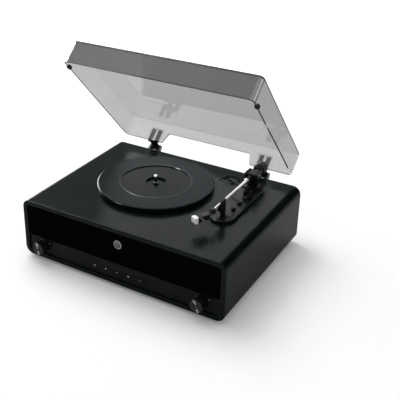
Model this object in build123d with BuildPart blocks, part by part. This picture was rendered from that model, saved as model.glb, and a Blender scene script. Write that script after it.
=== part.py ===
"""Tabletop record player with built-in speakers and a hinged clear cover.

Millimetres, +Z up, front towards -Y, origin on the table under the middle of the
cabinet. The cover is modelled open, as it stands in the photograph.
"""
from build123d import *
from math import cos, radians, sin
import os

# Cabinet sleeve
cabinet_width = 420.0
cabinet_depth = 312.0
cabinet_height = 114.0
cabinet_wall = 9.0
cabinet_corner = 16.0
rim_rounding = 0.8
foot_height = 6.0
foot_radius = 11.0
foot_inset_x = 32.0
foot_inset_y = 28.0

# Clearances
fit_gap = 0.3
shaft_clearance = 0.05
seat_gap = 0.2
press_gap = 0.02

# Front panel
front_recess = 3.0
strip_thickness = 3.0
strip_height = 31.5
grille_thickness = 3.4
grille_rounding = 1.0
baffle_thickness = 8.0
badge_radius = 8.5
badge_thickness = 1.6
badge_height = 88.0
badge_rounding = 0.7
speaker_inset = 80.0
speaker_radius = 31.0
speaker_flange = 5.0
speaker_depth = 28.0
speaker_rim = 2.0
basket_wall = 1.6
magnet_radius = 18.0
magnet_length = 12.6
magnet_plate = 1.4
cone_depth = 12.6
cone_thickness = 1.4
surround_width = 2.4
surround_thickness = 0.9
former_radius = 6.2
former_wall = 0.7

# Knobs and push buttons
left_knob_inset = 40.0
right_knob_inset = 46.0
knob_height = 31.0
knob_radius = 13.0
knob_length = 15.6
knob_rounding = 0.5
knob_cap_radius = 11.6
knob_cap_thickness = 1.4
knob_cap_recess = 0.8
knob_cap_chamfer = 0.4
pot_shaft_radius = 3.0
pot_shaft_grip = 9.0
pot_body_size = 16.0
pot_body_depth = 9.0
pot_body_corner = 2.0
pot_lid_inset = 1.0
pot_lid = 1.5
button_count = 5
button_pitch = 24.0
button_width = 23.2
button_height = 7.9
button_proud = 0.6
button_travel = 1.0
button_level = 30.5
button_corner = 1.0
button_rounding = 0.4
slot_corner = 1.2
stem_width = 6.0
stem_height = 4.0
switch_size = 6.0
switch_depth = 3.5
board_width = 140.0
board_height = 38.0
board_thickness = 1.6
board_standoff = 6.5
board_lift = 5.0
board_screw_inset = 5.5
board_hole = 1.2
standoff_radius = 3.0
chip_pitch = 42.0
chip_width = 16.0
chip_length = 12.0
chip_thickness = 6.0
jack_inset = 93.3
jack_height = 22.6
jack_radius = 3.4
jack_bore = 1.8
jack_length = 14.0
jack_flange = 1.0
jack_proud = 0.8
jack_body_width = 11.0
jack_body_height = 9.0
jack_body_depth = 4.0

# Rear panel and sockets
rear_recess = 3.0
rear_panel_thickness = 5.0
corner_block = 15.0
jack_plate_width = 84.0
jack_plate_height = 36.0
jack_plate_thickness = 2.0
jack_plate_corner = 3.0
jack_plate_lap = 6.0
socket_inset = 100.0
socket_height = 50.0
phono_offset = 20.0
phono_pitch = 16.0
phono_radius = 4.15
phono_wall = 1.0
phono_pin_bore = 1.6
phono_length = 8.0
phono_bushing_radius = 5.4
phono_bushing_rise = 1.2
phono_block_depth = 10.0
phono_block_gap = 2.0
phono_block_margin = 0.6
phono_insert_recess = 1.0
inlet_offset = 22.0
inlet_radius = 5.5
inlet_bore = 2.75
inlet_pin = 1.0
inlet_proud = 0.8
inlet_depth = 12.0
inlet_floor = 3.0
screw_radius = 1.6
screw_head_radius = 3.2
screw_length = 12.0
screw_tip_gap = 1.0
screw_head_height = 1.8
screw_head_taper = 20.0
foot_screw_margin = 1.0
foot_draft = 1.5

# Platter and drive
platter_x = -29.0
platter_y = 19.0
platter_radius = 111.3
platter_lift = 1.5
platter_rise = 10.3
platter_lip = 3.6
platter_rounding = 2.6
lip_height = 2.0
top_plate = 2.5
mat_thickness = 1.8
mat_rounding = 0.5
mat_inner_radius = 68.4
recess_radius = 19.2
recess_depth = 3.5
hub_plate = 2.0
hub_boss_radius = 6.2
hub_boss_height = 2.0
spindle_radius = 3.55
shaft_radius = 4.0
spindle_rise = 23.0
spindle_flange_radius = 15.0
spindle_flange = 1.5
bush_radius = 7.0
bush_flange_radius = 16.0
bush_flange = 1.0
bush_length = 32.0
bush_floor = 2.0
belt_rim_radius = 76.5
belt_rim_wall = 2.5
belt_thickness = 0.8
belt_height = 3.4
pulley_radius = 5.5
pulley_flange = 0.8
pulley_hole_gap = 2.0
motor_distance = 92.0
motor_bearing = 225.0
motor_radius = 17.0
motor_height = 26.0
motor_shaft_radius = 1.0
motor_shaft_end = 4.0
motor_rounding = 2.0
motor_ear = 10.0
motor_bracket_width = 14.0
motor_bracket_thickness = 1.5

# Single-record adapter in its well
adapter_inset = 127.0
adapter_rear_inset = 46.5
adapter_radius = 19.0
adapter_height = 6.6
adapter_edge = 2.2
adapter_crown = 0.5
adapter_crown_radius = 11.8
adapter_clearance = 0.1
adapter_turn = -28.0
adapter_slot_radius = 11.4
adapter_slot_length = 15.0
adapter_slot_width = 6.4
well_radius = 20.3
well_depth = 6.0

# Tonearm base
arm_inset = 76.0
pivot_setback = 18.0
arm_level = 30.5
base_offset = 1.0
base_rear_inset = 38.0
base_length = 166.0
base_width = 48.0
base_thickness = 6.0
base_rounding = 1.5
column_radius = 11.0
column_flange_radius = 14.0
column_flange = 3.0
column_step = 1.5
column_height = 11.0
column_stem_radius = 7.0
column_stem = 20.0
yoke_shaft_radius = 3.0

# Gimbal, tube and counterweight
gimbal_width = 17.0
gimbal_length = 22.0
gimbal_height = 14.0
gimbal_corner = 3.0
gimbal_rounding = 1.0
nose_radius = 4.7
nose_length = 16.0
nose_rounding = 1.2
yoke_wall = 3.2
yoke_length = 26.0
yoke_floor = 3.2
yoke_top = 8.0
yoke_corner = 5.0
yoke_edge = 1.2
pin_radius = 2.0
pin_reach = 2.6
pin_head_margin = 1.5
pin_head_height = 1.0
tube_radius = 2.9
tube_wall = 0.6
tube_overhang = 12.0
tube_socket = 6.0
stub_radius = 4.0
stub_length = 31.0
stub_chamfer = 0.8
weight_radius = 11.0
weight_length = 24.5
weight_dial_radius = 9.2
weight_dial = 4.0
weight_dial_gap = 1.0
weight_chamfer = 0.9
weight_overhang = 1.5

# Headshell
offset_angle = 27.0
shell_drop = 1.5
shell_length = 33.0
shell_width = 12.0
shell_neck = 9.0
shell_neck_length = 4.0
shell_shoulder = 10.0
shell_thickness = 2.5
shell_corner = 1.0
shell_skirt = 7.0
shell_wall = 1.4
shell_collar_length = 8.0
shell_collar_setback = 1.0
shell_collar_wall = 1.6
shell_bore_length = 20.0
cartridge_length = 12.0
cartridge_height = 8.0
stylus_block_length = 7.9
stylus_block_height = 11.4
stylus_block_corner = 1.6
stylus_block_nose = 2.0
stylus_bar_width = 3.0
stylus_bar_length = 10.0
stylus_bar_height = 3.4
stylus_tip_width = 1.6
stylus_tip_height = 2.5
stylus_tip_taper = 12.0
lift_blade_reach = 11.0
lift_blade_width = 3.0
lift_blade_thickness = 1.0
lift_blade_droop = 0.8
lift_blade_drop = 0.5
lift_blade_setback = 1.5

# Arm rest, cueing and selectors
rest_setback = 14.0
rest_width = 16.0
rest_fin = 4.6
rest_fin_rise = 10.0
rest_lead = 1.2
rest_ledge_reach = 4.5
rest_ledge_thickness = 4.0
rest_foot_width = 14.0
rest_foot_length = 18.0
rest_foot_height = 1.8
rest_rounding = 1.5
cue_radius = 40.0
cue_pin_radius = 2.0
cue_rise = 3.0
cue_bar_width = 3.0
cue_bar_height = 3.0
cue_pin_angle = 13.0
cue_pin_lift = 1.0
cue_outer_margin = 4.0
cue_inner_angle = -46.0
cue_housing_width = 13.0
cue_housing_length = 16.0
cue_housing_height = 12.0
cue_housing_corner = 2.5
cue_lever_thickness = 3.0
cue_lever_length = 24.0
cue_lever_setback = 4.0
cue_lever_heel = 3.6
cue_lever_half_height = 2.4
cue_lever_crest = 4.4
cue_lever_belly = 1.6
cue_lever_bend = 6.0
cue_lever_tip_bottom = 3.4
cue_lever_tip_height = 3.0
cue_lever_pin = 1.8
cue_lever_pin_depth = 3.0
cue_tab_width = 8.0
cue_tab_length = 5.0
cue_tab_corner = 1.0
selector_offset = 9.5
selector_setback = 98.5
selector_pitch = 24.0
selector_step = 6.0
selector_neck = 4.4
selector_depth = 4.0
selector_knob_length = 7.0
selector_knob_width = 6.6
selector_knob_height = 4.2
selector_knob_corner = 1.4
selector_knob_rounding = 0.8

# Cover and hinges
lid_open_angle = 47.2
lid_side_inset = 20.3
lid_front_inset = 6.0
lid_rear_inset = 7.4
lid_height = 45.6
lid_wall = 3.0
lid_corner = 10.0
lid_edge = 2.2
lid_rim_gap = 1.8
notch_margin = 24.0
notch_lean = 8.0
notch_height = 23.0
notch_corner = 6.0
hinge_inset = 86.0
hinge_behind = 16.4
hinge_below = 2.0
barrel_radius = 6.0
barrel_half_length = 7.8
hinge_pin_radius = 2.0
hinge_pin_proud = 0.6
hinge_ear = 4.0
hinge_plate_width = 50.0
hinge_plate_height = 36.0
hinge_plate_thickness = 3.0
hinge_plate_corner = 4.0
hinge_screw_side = 7.0
hinge_screw_up = 9.0
hinge_leaf_step = 1.0
hinge_leaf_lead = 2.0
hinge_leaf = 2.8
prong_width = 8.0
prong_gap = 7.0
prong_thickness = 3.0
prong_height = 25.0
socket_wall = 2.4
socket_rise = 2.0
bumper_setback = 24.0
bumper_length = 10.0
bumper_wall = 2.0
bumper_grip = 4.5
bumper_corner = 1.5

# Lengthening of cuts past a face, and the slack when edges are picked by size
past = 1.0
slack = 0.01

# Levels and places worked out from the sizes above
deck_top = foot_height + cabinet_height
deck_bottom = deck_top - cabinet_wall
floor_top = foot_height + cabinet_wall
front_y = -cabinet_depth / 2
rear_y = cabinet_depth / 2
inner_width = cabinet_width - 2 * cabinet_wall
inner_height = cabinet_height - 2 * cabinet_wall
inner_corner = cabinet_corner - cabinet_wall
panel_width = inner_width - 2 * fit_gap
panel_height = inner_height - 2 * fit_gap
panel_corner = inner_corner - fit_gap
cabinet_middle = foot_height + cabinet_height / 2

strip_front = front_y + front_recess
baffle_front = strip_front + strip_thickness
baffle_back = baffle_front + baffle_thickness
strip_bottom = floor_top + fit_gap
strip_top = strip_bottom + strip_height
grille_bottom = strip_top + fit_gap
grille_top = deck_bottom - fit_gap
grille_middle = (grille_bottom + grille_top) / 2
speaker_opening = speaker_radius - speaker_flange

board_front = baffle_back + board_standoff
board_bottom = floor_top + board_lift
board_middle = board_bottom + board_height / 2
jack_x = cabinet_width / 2 - jack_inset
socket_x = socket_inset - cabinet_width / 2
left_knob_x = left_knob_inset - cabinet_width / 2
right_knob_x = cabinet_width / 2 - right_knob_inset
speaker_x = cabinet_width / 2 - speaker_inset
knob_back = strip_front - 2 * fit_gap
knob_front = knob_back - knob_length
button_front = strip_front - button_proud
button_back = baffle_front - button_travel - fit_gap
switch_front = board_front - switch_depth
stem_back = switch_front - button_travel - fit_gap

rear_panel_back = rear_y - rear_recess
rear_panel_front = rear_panel_back - rear_panel_thickness

rim_bottom = deck_top + platter_lift
lip_top = deck_top + platter_rise
plate_top = lip_top - lip_height
plate_bottom = plate_top - top_plate
recess_floor = plate_top - recess_depth
recess_bottom = recess_floor - hub_plate
hub_top = recess_floor + hub_boss_height
mat_outer_radius = platter_radius - platter_lip - seat_gap
spindle_top = deck_top + spindle_rise
spindle_bottom = deck_top - bush_length + bush_floor + seat_gap
magnet_front = speaker_depth - magnet_length
motor_x = platter_x + motor_distance * cos(radians(motor_bearing))
motor_y = platter_y + motor_distance * sin(radians(motor_bearing))
belt_bottom = plate_bottom - fit_gap - belt_height

adapter_x = cabinet_width / 2 - adapter_inset
adapter_y = rear_y - adapter_rear_inset
arm_x = cabinet_width / 2 - arm_inset
base_x = arm_x + base_offset
base_top = deck_top + base_thickness
base_rear = rear_y - base_rear_inset
base_front = base_rear - base_length
base_middle_y = base_rear - base_length / 2
pivot_y = base_rear - pivot_setback
tube_front = base_front - tube_overhang
rest_y = base_front + rest_setback
selector_x = arm_x + selector_offset
selector_front = pivot_y - selector_setback
arm_z = deck_top + arm_level
column_top = base_top + column_height
yoke_bottom = column_top + fit_gap
yoke_width = gimbal_width + 2 * (fit_gap + yoke_wall)
yoke_deck = yoke_bottom + yoke_floor
gimbal_front = pivot_y - gimbal_length / 2
gimbal_back = pivot_y + gimbal_length / 2
cheek_x = gimbal_width / 2 + fit_gap
weight_back = gimbal_back + stub_length + weight_overhang
weight_front = weight_back - weight_length

tube_bottom = arm_z - tube_radius
rest_ledge = tube_bottom - fit_gap
cue_bar_top = tube_bottom - fit_gap - cue_rise
cue_pin_x = arm_x + cue_radius * sin(radians(cue_pin_angle))
cue_pin_y = pivot_y - cue_radius * cos(radians(cue_pin_angle))
cue_lever_x = cue_pin_x + cue_housing_width / 2 + fit_gap
cue_lever_y = cue_pin_y - cue_lever_setback
cue_lever_z = base_top + cue_housing_height / 2

hinge_x = cabinet_width / 2 - hinge_inset
notch_half_width = hinge_x - notch_margin
axis_y = rear_y + hinge_behind
axis_z = deck_top - hinge_below
lid_width = cabinet_width - 2 * lid_side_inset
lid_depth = cabinet_depth - lid_front_inset - lid_rear_inset
lid_rear = rear_y - lid_rear_inset - axis_y
lid_middle = lid_rear - lid_depth / 2
lid_rim = deck_top + lid_rim_gap - axis_z
leaf_bottom = hinge_below + seat_gap + fit_gap
prong_back = lid_rear + socket_wall + seat_gap + prong_thickness
socket_back = prong_back + seat_gap + socket_wall
socket_width = prong_gap + 2 * prong_width + 2 * seat_gap + 2 * socket_wall
socket_bottom = lid_rim + socket_rise
ear_inner = barrel_half_length + fit_gap


def facing(y):
    """Upright plane at depth y, drawn in X and Z, that looks to the front."""
    return Plane.XZ.offset(-y)


def turning(x, y, z=0.0):
    """Plane for a half profile turned about the upright axis through x, y."""
    return Plane(origin=(x, y, z), x_dir=(1, 0, 0), z_dir=(0, -1, 0))


def upright(x, y):
    """Upright axis through x, y."""
    return Axis((x, y, 0), (0, 0, 1))


def level(x, y, z, angle=0.0):
    """Level plane at a point, turned about Z."""
    return Plane(origin=(x, y, z), x_dir=(cos(radians(angle)), sin(radians(angle)), 0), z_dir=(0, 0, 1))


def arm_section(y):
    """Plane across the tonearm at depth y, looking to the front."""
    return Plane(origin=(arm_x, y, arm_z), x_dir=(1, 0, 0), z_dir=(0, -1, 0))


lid_up = (0, sin(radians(lid_open_angle)), cos(radians(lid_open_angle)))
lid_forward = (0, -cos(radians(lid_open_angle)), sin(radians(lid_open_angle)))
lid_frame = Plane(origin=(0, axis_y, axis_z), x_dir=(1, 0, 0), z_dir=lid_up)


def lid_wall_plane(y, z):
    """Plane across the cover at its own depth y and height z, looking to its front."""
    return Plane(origin=lid_frame.from_local_coords((0, y, z)), x_dir=(1, 0, 0), z_dir=lid_forward)


def lid_side_plane(x):
    """Plane along the cover at x: local x runs up the cover and local y to its front."""
    return Plane(origin=(x, axis_y, axis_z), x_dir=lid_up, z_dir=(-1, 0, 0))


foot_places = [
    (side * (cabinet_width / 2 - foot_inset_x), end * (cabinet_depth / 2 - foot_inset_y))
    for side in (-1, 1)
    for end in (-1, 1)
]
block_places = [
    (side * (inner_width - corner_block) / 2, cabinet_middle + end * (inner_height - corner_block) / 2)
    for side in (-1, 1)
    for end in (-1, 1)
]
button_places = [(i - (button_count - 1) / 2) * button_pitch for i in range(button_count)]
knob_places = {"volume": left_knob_x, "tone": right_knob_x}
hinge_places = (-hinge_x, hinge_x)
speaker_places = (-speaker_x, speaker_x)
board_screws = [
    (x * (board_width / 2 - board_screw_inset), board_middle + z * (board_height / 2 - board_screw_inset))
    for x in (-1, 1)
    for z in (-1, 1)
]
# Each selector's place along the plate, and its travel towards the front and the rear
selectors = {
    "speed_selector": (selector_front, selector_step, selector_step),
    "auto_stop_switch": (selector_front + selector_pitch, 0.0, selector_step),
}
hinge_screw_places = [
    (
        hinge + side * (hinge_plate_width / 2 - hinge_screw_side),
        axis_z - hinge_plate_height + hinge_screw_up,
    )
    for hinge in hinge_places
    for side in (-1, 1)
]

pieces = {}

# Cabinet sleeve: one rounded tube of board, open at the front and the rear
with BuildPart() as cabinet_sleeve:
    with BuildSketch(facing(rear_y)):
        with Locations((0, cabinet_middle)):
            RectangleRounded(cabinet_width, cabinet_height, cabinet_corner)
    extrude(amount=cabinet_depth)
    fillet(cabinet_sleeve.faces().filter_by(Axis.Y).edges(), rim_rounding)
    with BuildSketch(facing(rear_y)):
        with Locations((0, cabinet_middle)):
            RectangleRounded(inner_width, inner_height, inner_corner)
    extrude(amount=cabinet_depth, mode=Mode.SUBTRACT)
    with BuildSketch(facing(rear_panel_front)):
        with Locations(*block_places):
            Rectangle(corner_block, corner_block)
    extrude(amount=corner_block)
    with BuildSketch(facing(rear_panel_front)):
        with Locations(*block_places):
            Circle(screw_radius)
    extrude(amount=screw_length, mode=Mode.SUBTRACT)
    with Locations((platter_x, platter_y, deck_top)):
        Hole(bush_radius + seat_gap, depth=cabinet_wall)
    with Locations((motor_x, motor_y, deck_top)):
        Hole(pulley_radius + pulley_flange + pulley_hole_gap, depth=cabinet_wall)
    with Locations((adapter_x, adapter_y, deck_top)):
        Hole(well_radius, depth=well_depth)
    with Locations((arm_x, pivot_y, deck_top)):
        Hole(column_stem_radius + seat_gap, depth=cabinet_wall)
    with Locations(*[(x, y, floor_top) for x, y in foot_places]):
        Hole(screw_radius, depth=cabinet_wall)
pieces["cabinet_sleeve"] = cabinet_sleeve

# Front baffle: board behind the cloth and the control strip
with BuildPart() as front_baffle:
    with BuildSketch(facing(baffle_back)):
        with Locations((0, cabinet_middle)):
            RectangleRounded(panel_width, panel_height, panel_corner)
        with Locations(*[(x, grille_middle) for x in speaker_places]):
            Circle(speaker_opening, mode=Mode.SUBTRACT)
        with Locations(*[(x, knob_height) for x in knob_places.values()]):
            Circle(pot_shaft_radius + fit_gap, mode=Mode.SUBTRACT)
        with Locations(*[(x, button_level) for x in button_places]):
            Rectangle(stem_width + 2 * fit_gap, stem_height + 2 * fit_gap, mode=Mode.SUBTRACT)
        with Locations((jack_x, jack_height)):
            Circle(jack_radius + seat_gap, mode=Mode.SUBTRACT)
    extrude(amount=baffle_thickness)
    with BuildSketch(facing(board_front)):
        with Locations(*board_screws):
            Circle(standoff_radius)
    extrude(amount=board_standoff)
pieces["front_baffle"] = front_baffle

# Speaker grille: thin frame wrapped in cloth
with BuildPart() as speaker_grille:
    with BuildSketch(facing(baffle_front)):
        with Locations((0, cabinet_middle)):
            RectangleRounded(panel_width, panel_height, panel_corner)
        with Locations((0, grille_middle)):
            Rectangle(panel_width, grille_top - grille_bottom, mode=Mode.INTERSECT)
    extrude(amount=grille_thickness)
    fillet(speaker_grille.faces().sort_by(Axis.Y)[0].edges(), grille_rounding)
pieces["speaker_grille"] = speaker_grille

# Control strip: moulded face with the button slot and the knob holes
with BuildPart() as control_strip:
    with BuildSketch(facing(baffle_front)):
        with Locations((0, cabinet_middle)):
            RectangleRounded(panel_width, panel_height, panel_corner)
        with Locations((0, strip_bottom + strip_height / 2)):
            Rectangle(panel_width, strip_height, mode=Mode.INTERSECT)
        with Locations(*[(x, knob_height) for x in knob_places.values()]):
            Circle(pot_shaft_radius + 2 * fit_gap, mode=Mode.SUBTRACT)
        with Locations((0, button_level)):
            RectangleRounded(
                (button_count - 1) * button_pitch + button_width + 4 * fit_gap,
                button_height + 2 * fit_gap,
                slot_corner,
                mode=Mode.SUBTRACT,
            )
        with Locations((jack_x, jack_height)):
            Circle(jack_radius + seat_gap, mode=Mode.SUBTRACT)
    extrude(amount=strip_thickness)
pieces["control_strip"] = control_strip

# Badge: a plain round stud on the cloth
with BuildPart() as grille_badge:
    with BuildSketch(facing(baffle_front - grille_thickness)):
        with Locations((0, badge_height)):
            Circle(badge_radius)
    extrude(amount=badge_thickness)
    fillet(grille_badge.faces().sort_by(Axis.Y)[0].edges(), badge_rounding)
pieces["grille_badge"] = grille_badge

# Speakers: a pressed basket with its magnet, and a cone that moves inside it
with BuildPart() as speaker_baskets:
    for x in speaker_places:
        with BuildSketch(Plane(origin=(x, baffle_back, grille_middle), x_dir=(1, 0, 0), z_dir=(0, 0, 1))):
            with BuildLine():
                Polyline(
                    (speaker_opening, 0),
                    (speaker_radius, 0),
                    (speaker_radius, speaker_rim),
                    (speaker_opening + basket_wall, speaker_rim),
                    (magnet_radius, magnet_front),
                    (magnet_radius, speaker_depth),
                    (0, speaker_depth),
                    (0, magnet_front + magnet_plate),
                    (magnet_radius - basket_wall, magnet_front + magnet_plate),
                    (magnet_radius - basket_wall, magnet_front - seat_gap),
                    (speaker_opening, speaker_rim / 2),
                    close=True,
                )
            make_face()
        revolve(axis=Axis((x, 0, grille_middle), (0, 1, 0)))
pieces["speaker_baskets"] = speaker_baskets

with BuildPart() as speaker_cones:
    cone_rim = speaker_opening - fit_gap
    former_back = magnet_front + magnet_plate - fit_gap
    former_bore = former_radius - former_wall
    for x in speaker_places:
        with BuildSketch(Plane(origin=(x, baffle_back, grille_middle), x_dir=(1, 0, 0), z_dir=(0, 0, 1))):
            with BuildLine():
                Polyline(
                    (0, cone_depth - 2 * cone_thickness),
                    (former_bore, cone_depth - cone_thickness),
                    (cone_rim - surround_width, cone_thickness / 2),
                    (cone_rim - surround_width, 0),
                    (cone_rim, 0),
                    (cone_rim, surround_thickness),
                    (cone_rim - surround_thickness, 2 * surround_thickness),
                    (former_radius, cone_depth),
                    (former_radius, former_back),
                    (former_bore, former_back),
                    (former_bore, cone_depth),
                    (0, cone_depth - cone_thickness),
                    close=True,
                )
            make_face()
        revolve(axis=Axis((x, 0, grille_middle), (0, 1, 0)))
pieces["speaker_cones"] = speaker_cones

# Rear panel with its socket plate
with BuildPart() as rear_panel:
    with BuildSketch(facing(rear_panel_back)):
        with Locations((0, cabinet_middle)):
            RectangleRounded(panel_width, panel_height, panel_corner)
        with Locations(*block_places):
            Circle(screw_radius + seat_gap, mode=Mode.SUBTRACT)
        with Locations((socket_x, socket_height)):
            Rectangle(
                jack_plate_width - 2 * jack_plate_lap,
                jack_plate_height - 2 * jack_plate_lap,
                mode=Mode.SUBTRACT,
            )
    extrude(amount=rear_panel_thickness)
pieces["rear_panel"] = rear_panel

phono_places = [
    (socket_x - phono_offset + side * phono_pitch / 2, socket_height)
    for side in (-1, 1)
]
inlet_place = (socket_x + inlet_offset, socket_height)

with BuildPart() as jack_plate:
    with BuildSketch(facing(rear_panel_back + jack_plate_thickness)):
        with Locations((socket_x, socket_height)):
            RectangleRounded(jack_plate_width, jack_plate_height, jack_plate_corner)
        with Locations(*phono_places):
            Circle(phono_bushing_radius + seat_gap, mode=Mode.SUBTRACT)
        with Locations(inlet_place):
            Circle(inlet_radius + seat_gap, mode=Mode.SUBTRACT)
    extrude(amount=jack_plate_thickness)
pieces["jack_plate"] = jack_plate

with BuildPart() as line_out_jacks:
    bushing_end = rear_panel_back + jack_plate_thickness + phono_bushing_rise
    with BuildSketch(facing(rear_panel_back)):
        with Locations(*phono_places):
            Rectangle(phono_pitch - phono_block_gap, 2 * (phono_bushing_radius + phono_block_margin))
    extrude(amount=phono_block_depth)
    with BuildSketch(facing(bushing_end)):
        with Locations(*phono_places):
            Circle(phono_bushing_radius)
    extrude(amount=bushing_end - rear_panel_back)
    with BuildSketch(facing(bushing_end + phono_length)):
        with Locations(*phono_places):
            Circle(phono_radius)
            Circle(phono_radius - phono_wall, mode=Mode.SUBTRACT)
    extrude(amount=phono_length)
    with BuildSketch(facing(bushing_end + phono_length - phono_insert_recess)):
        with Locations(*phono_places):
            Circle(phono_radius - phono_wall)
    extrude(amount=phono_length - phono_insert_recess)
    with BuildSketch(facing(bushing_end + phono_length)):
        with Locations(*phono_places):
            Circle(phono_pin_bore)
    extrude(amount=phono_length + phono_block_depth / 2, mode=Mode.SUBTRACT)
pieces["line_out_jacks"] = line_out_jacks

with BuildPart() as dc_inlet:
    inlet_face = rear_panel_back + jack_plate_thickness + inlet_proud
    with BuildSketch(facing(inlet_face)):
        with Locations(inlet_place):
            Circle(inlet_radius)
            Circle(inlet_bore, mode=Mode.SUBTRACT)
    extrude(amount=inlet_depth)
    with BuildSketch(facing(inlet_face - inlet_proud)):
        with Locations(inlet_place):
            Circle(inlet_pin)
    extrude(amount=inlet_depth)
    with BuildSketch(facing(inlet_face - inlet_depth + inlet_proud)):
        with Locations(inlet_place):
            Rectangle(2 * inlet_radius, 2 * inlet_radius)
    extrude(amount=inlet_floor)
pieces["dc_inlet"] = dc_inlet

# Circuit board behind the baffle, with a switch for each button
with BuildPart() as main_board:
    with BuildSketch(facing(board_front)):
        with Locations((0, board_middle)):
            Rectangle(board_width, board_height)
        with Locations(*board_screws):
            Circle(board_hole, mode=Mode.SUBTRACT)
    extrude(amount=-board_thickness)
    with BuildSketch(facing(board_front + board_thickness)):
        with Locations(*[(place * chip_pitch, board_middle) for place in (-1, 0, 1)]):
            Rectangle(chip_width, chip_length)
    extrude(amount=-chip_thickness)
pieces["main_board"] = main_board

with BuildPart() as button_switches:
    with BuildSketch(facing(board_front)):
        with Locations(*[(x, button_level) for x in button_places]):
            Rectangle(switch_size, switch_size)
    extrude(amount=switch_depth)
pieces["button_switches"] = button_switches

with BuildPart() as headphone_jack:
    with BuildSketch(facing(baffle_back)):
        with Locations((jack_x, jack_height)):
            Circle(jack_radius)
    extrude(amount=baffle_thickness + strip_thickness)
    with BuildSketch(facing(strip_front)):
        with Locations((jack_x, jack_height)):
            Circle(jack_radius + jack_flange)
    extrude(amount=jack_proud)
    with BuildSketch(facing(baffle_back + jack_body_depth)):
        with Locations((jack_x, jack_height)):
            Rectangle(jack_body_width, jack_body_height)
    extrude(amount=jack_body_depth)
    with BuildSketch(facing(strip_front - jack_proud)):
        with Locations((jack_x, jack_height)):
            Circle(jack_bore)
    extrude(amount=-jack_length, mode=Mode.SUBTRACT)
pieces["headphone_jack"] = headphone_jack

with BuildPart() as pot_bodies:
    with BuildSketch(facing(baffle_back)):
        with Locations(*[(x, knob_height) for x in knob_places.values()]):
            RectangleRounded(pot_body_size, pot_body_size, pot_body_corner)
            Circle(pot_shaft_radius + shaft_clearance, mode=Mode.SUBTRACT)
    extrude(amount=-pot_body_depth)
    with BuildSketch(facing(baffle_back + pot_body_depth)):
        with Locations(*[(x, knob_height) for x in knob_places.values()]):
            Circle(pot_body_size / 2 - pot_lid_inset)
    extrude(amount=-pot_lid)
pieces["pot_bodies"] = pot_bodies

# Knobs: moulded body, spun metal cap and the shaft that they turn
for name, x in knob_places.items():
    with BuildPart() as knob_body:
        with BuildSketch(facing(knob_back)):
            with Locations((x, knob_height)):
                Circle(knob_radius)
        extrude(amount=knob_length)
        fillet(knob_body.faces().sort_by(Axis.Y)[0].edges(), knob_rounding)
        with BuildSketch(facing(knob_front)):
            with Locations((x, knob_height)):
                Circle(knob_cap_radius + press_gap)
        extrude(amount=-knob_cap_recess, mode=Mode.SUBTRACT)
        with BuildSketch(facing(knob_back)):
            with Locations((x, knob_height)):
                Circle(pot_shaft_radius + press_gap)
        extrude(amount=pot_shaft_grip, mode=Mode.SUBTRACT)
    pieces[name + "_knob"] = knob_body

    with BuildPart() as knob_cap:
        with BuildSketch(facing(knob_front + knob_cap_recess)):
            with Locations((x, knob_height)):
                Circle(knob_cap_radius)
        extrude(amount=knob_cap_thickness)
        chamfer(knob_cap.faces().sort_by(Axis.Y)[0].edges(), knob_cap_chamfer)
    pieces[name + "_knob_cap"] = knob_cap

    with BuildPart() as pot_shaft:
        with BuildSketch(facing(baffle_back + pot_body_depth - seat_gap)):
            with Locations((x, knob_height)):
                Circle(pot_shaft_radius)
        extrude(amount=baffle_back + pot_body_depth - seat_gap - knob_back + pot_shaft_grip)
    pieces[name + "_pot_shaft"] = pot_shaft

# Push buttons: a cap in the slot and a stem through the baffle
for number, x in enumerate(button_places, start=1):
    with BuildPart() as push_button:
        with BuildSketch(facing(button_back)):
            with Locations((x, button_level)):
                RectangleRounded(button_width, button_height, button_corner)
        extrude(amount=button_back - button_front)
        fillet(push_button.faces().sort_by(Axis.Y)[0].edges(), button_rounding)
        with BuildSketch(facing(stem_back)):
            with Locations((x, button_level)):
                Rectangle(stem_width, stem_height)
        extrude(amount=stem_back - button_back)
    pieces["button_" + str(number)] = push_button

# Rubber feet, and the screws of the feet and the rear panel
with BuildPart() as rubber_feet:
    for place in foot_places:
        with BuildSketch(turning(*place)):
            with BuildLine():
                Polyline(
                    (screw_head_radius + foot_screw_margin, 0),
                    (foot_radius - foot_draft, 0),
                    (foot_radius, foot_height),
                    (screw_radius + seat_gap, foot_height),
                    (screw_radius + seat_gap, foot_height / 2),
                    (screw_head_radius + foot_screw_margin, foot_height / 2),
                    close=True,
                )
            make_face()
        revolve(axis=upright(*place))
pieces["rubber_feet"] = rubber_feet

with BuildPart() as cabinet_screws:
    for x, y in foot_places:
        with BuildSketch(turning(x, y)):
            with BuildLine():
                Polyline(
                    (0, foot_height / 2 - screw_head_height),
                    (screw_head_radius, foot_height / 2 - screw_head_height),
                    (screw_head_radius, foot_height / 2),
                    (screw_radius - press_gap, foot_height / 2),
                    (screw_radius - press_gap, foot_height + cabinet_wall - screw_tip_gap),
                    (0, foot_height + cabinet_wall - screw_tip_gap),
                    close=True,
                )
            make_face()
        revolve(axis=upright(x, y))
    with BuildSketch(facing(rear_panel_back)):
        with Locations(*block_places):
            Circle(screw_radius - press_gap)
    extrude(amount=rear_panel_thickness + screw_length - screw_tip_gap)
    with BuildSketch(facing(rear_panel_back)):
        with Locations(*block_places):
            Circle(screw_head_radius)
    extrude(amount=-screw_head_height, taper=screw_head_taper)
pieces["cabinet_screws"] = cabinet_screws

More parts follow.
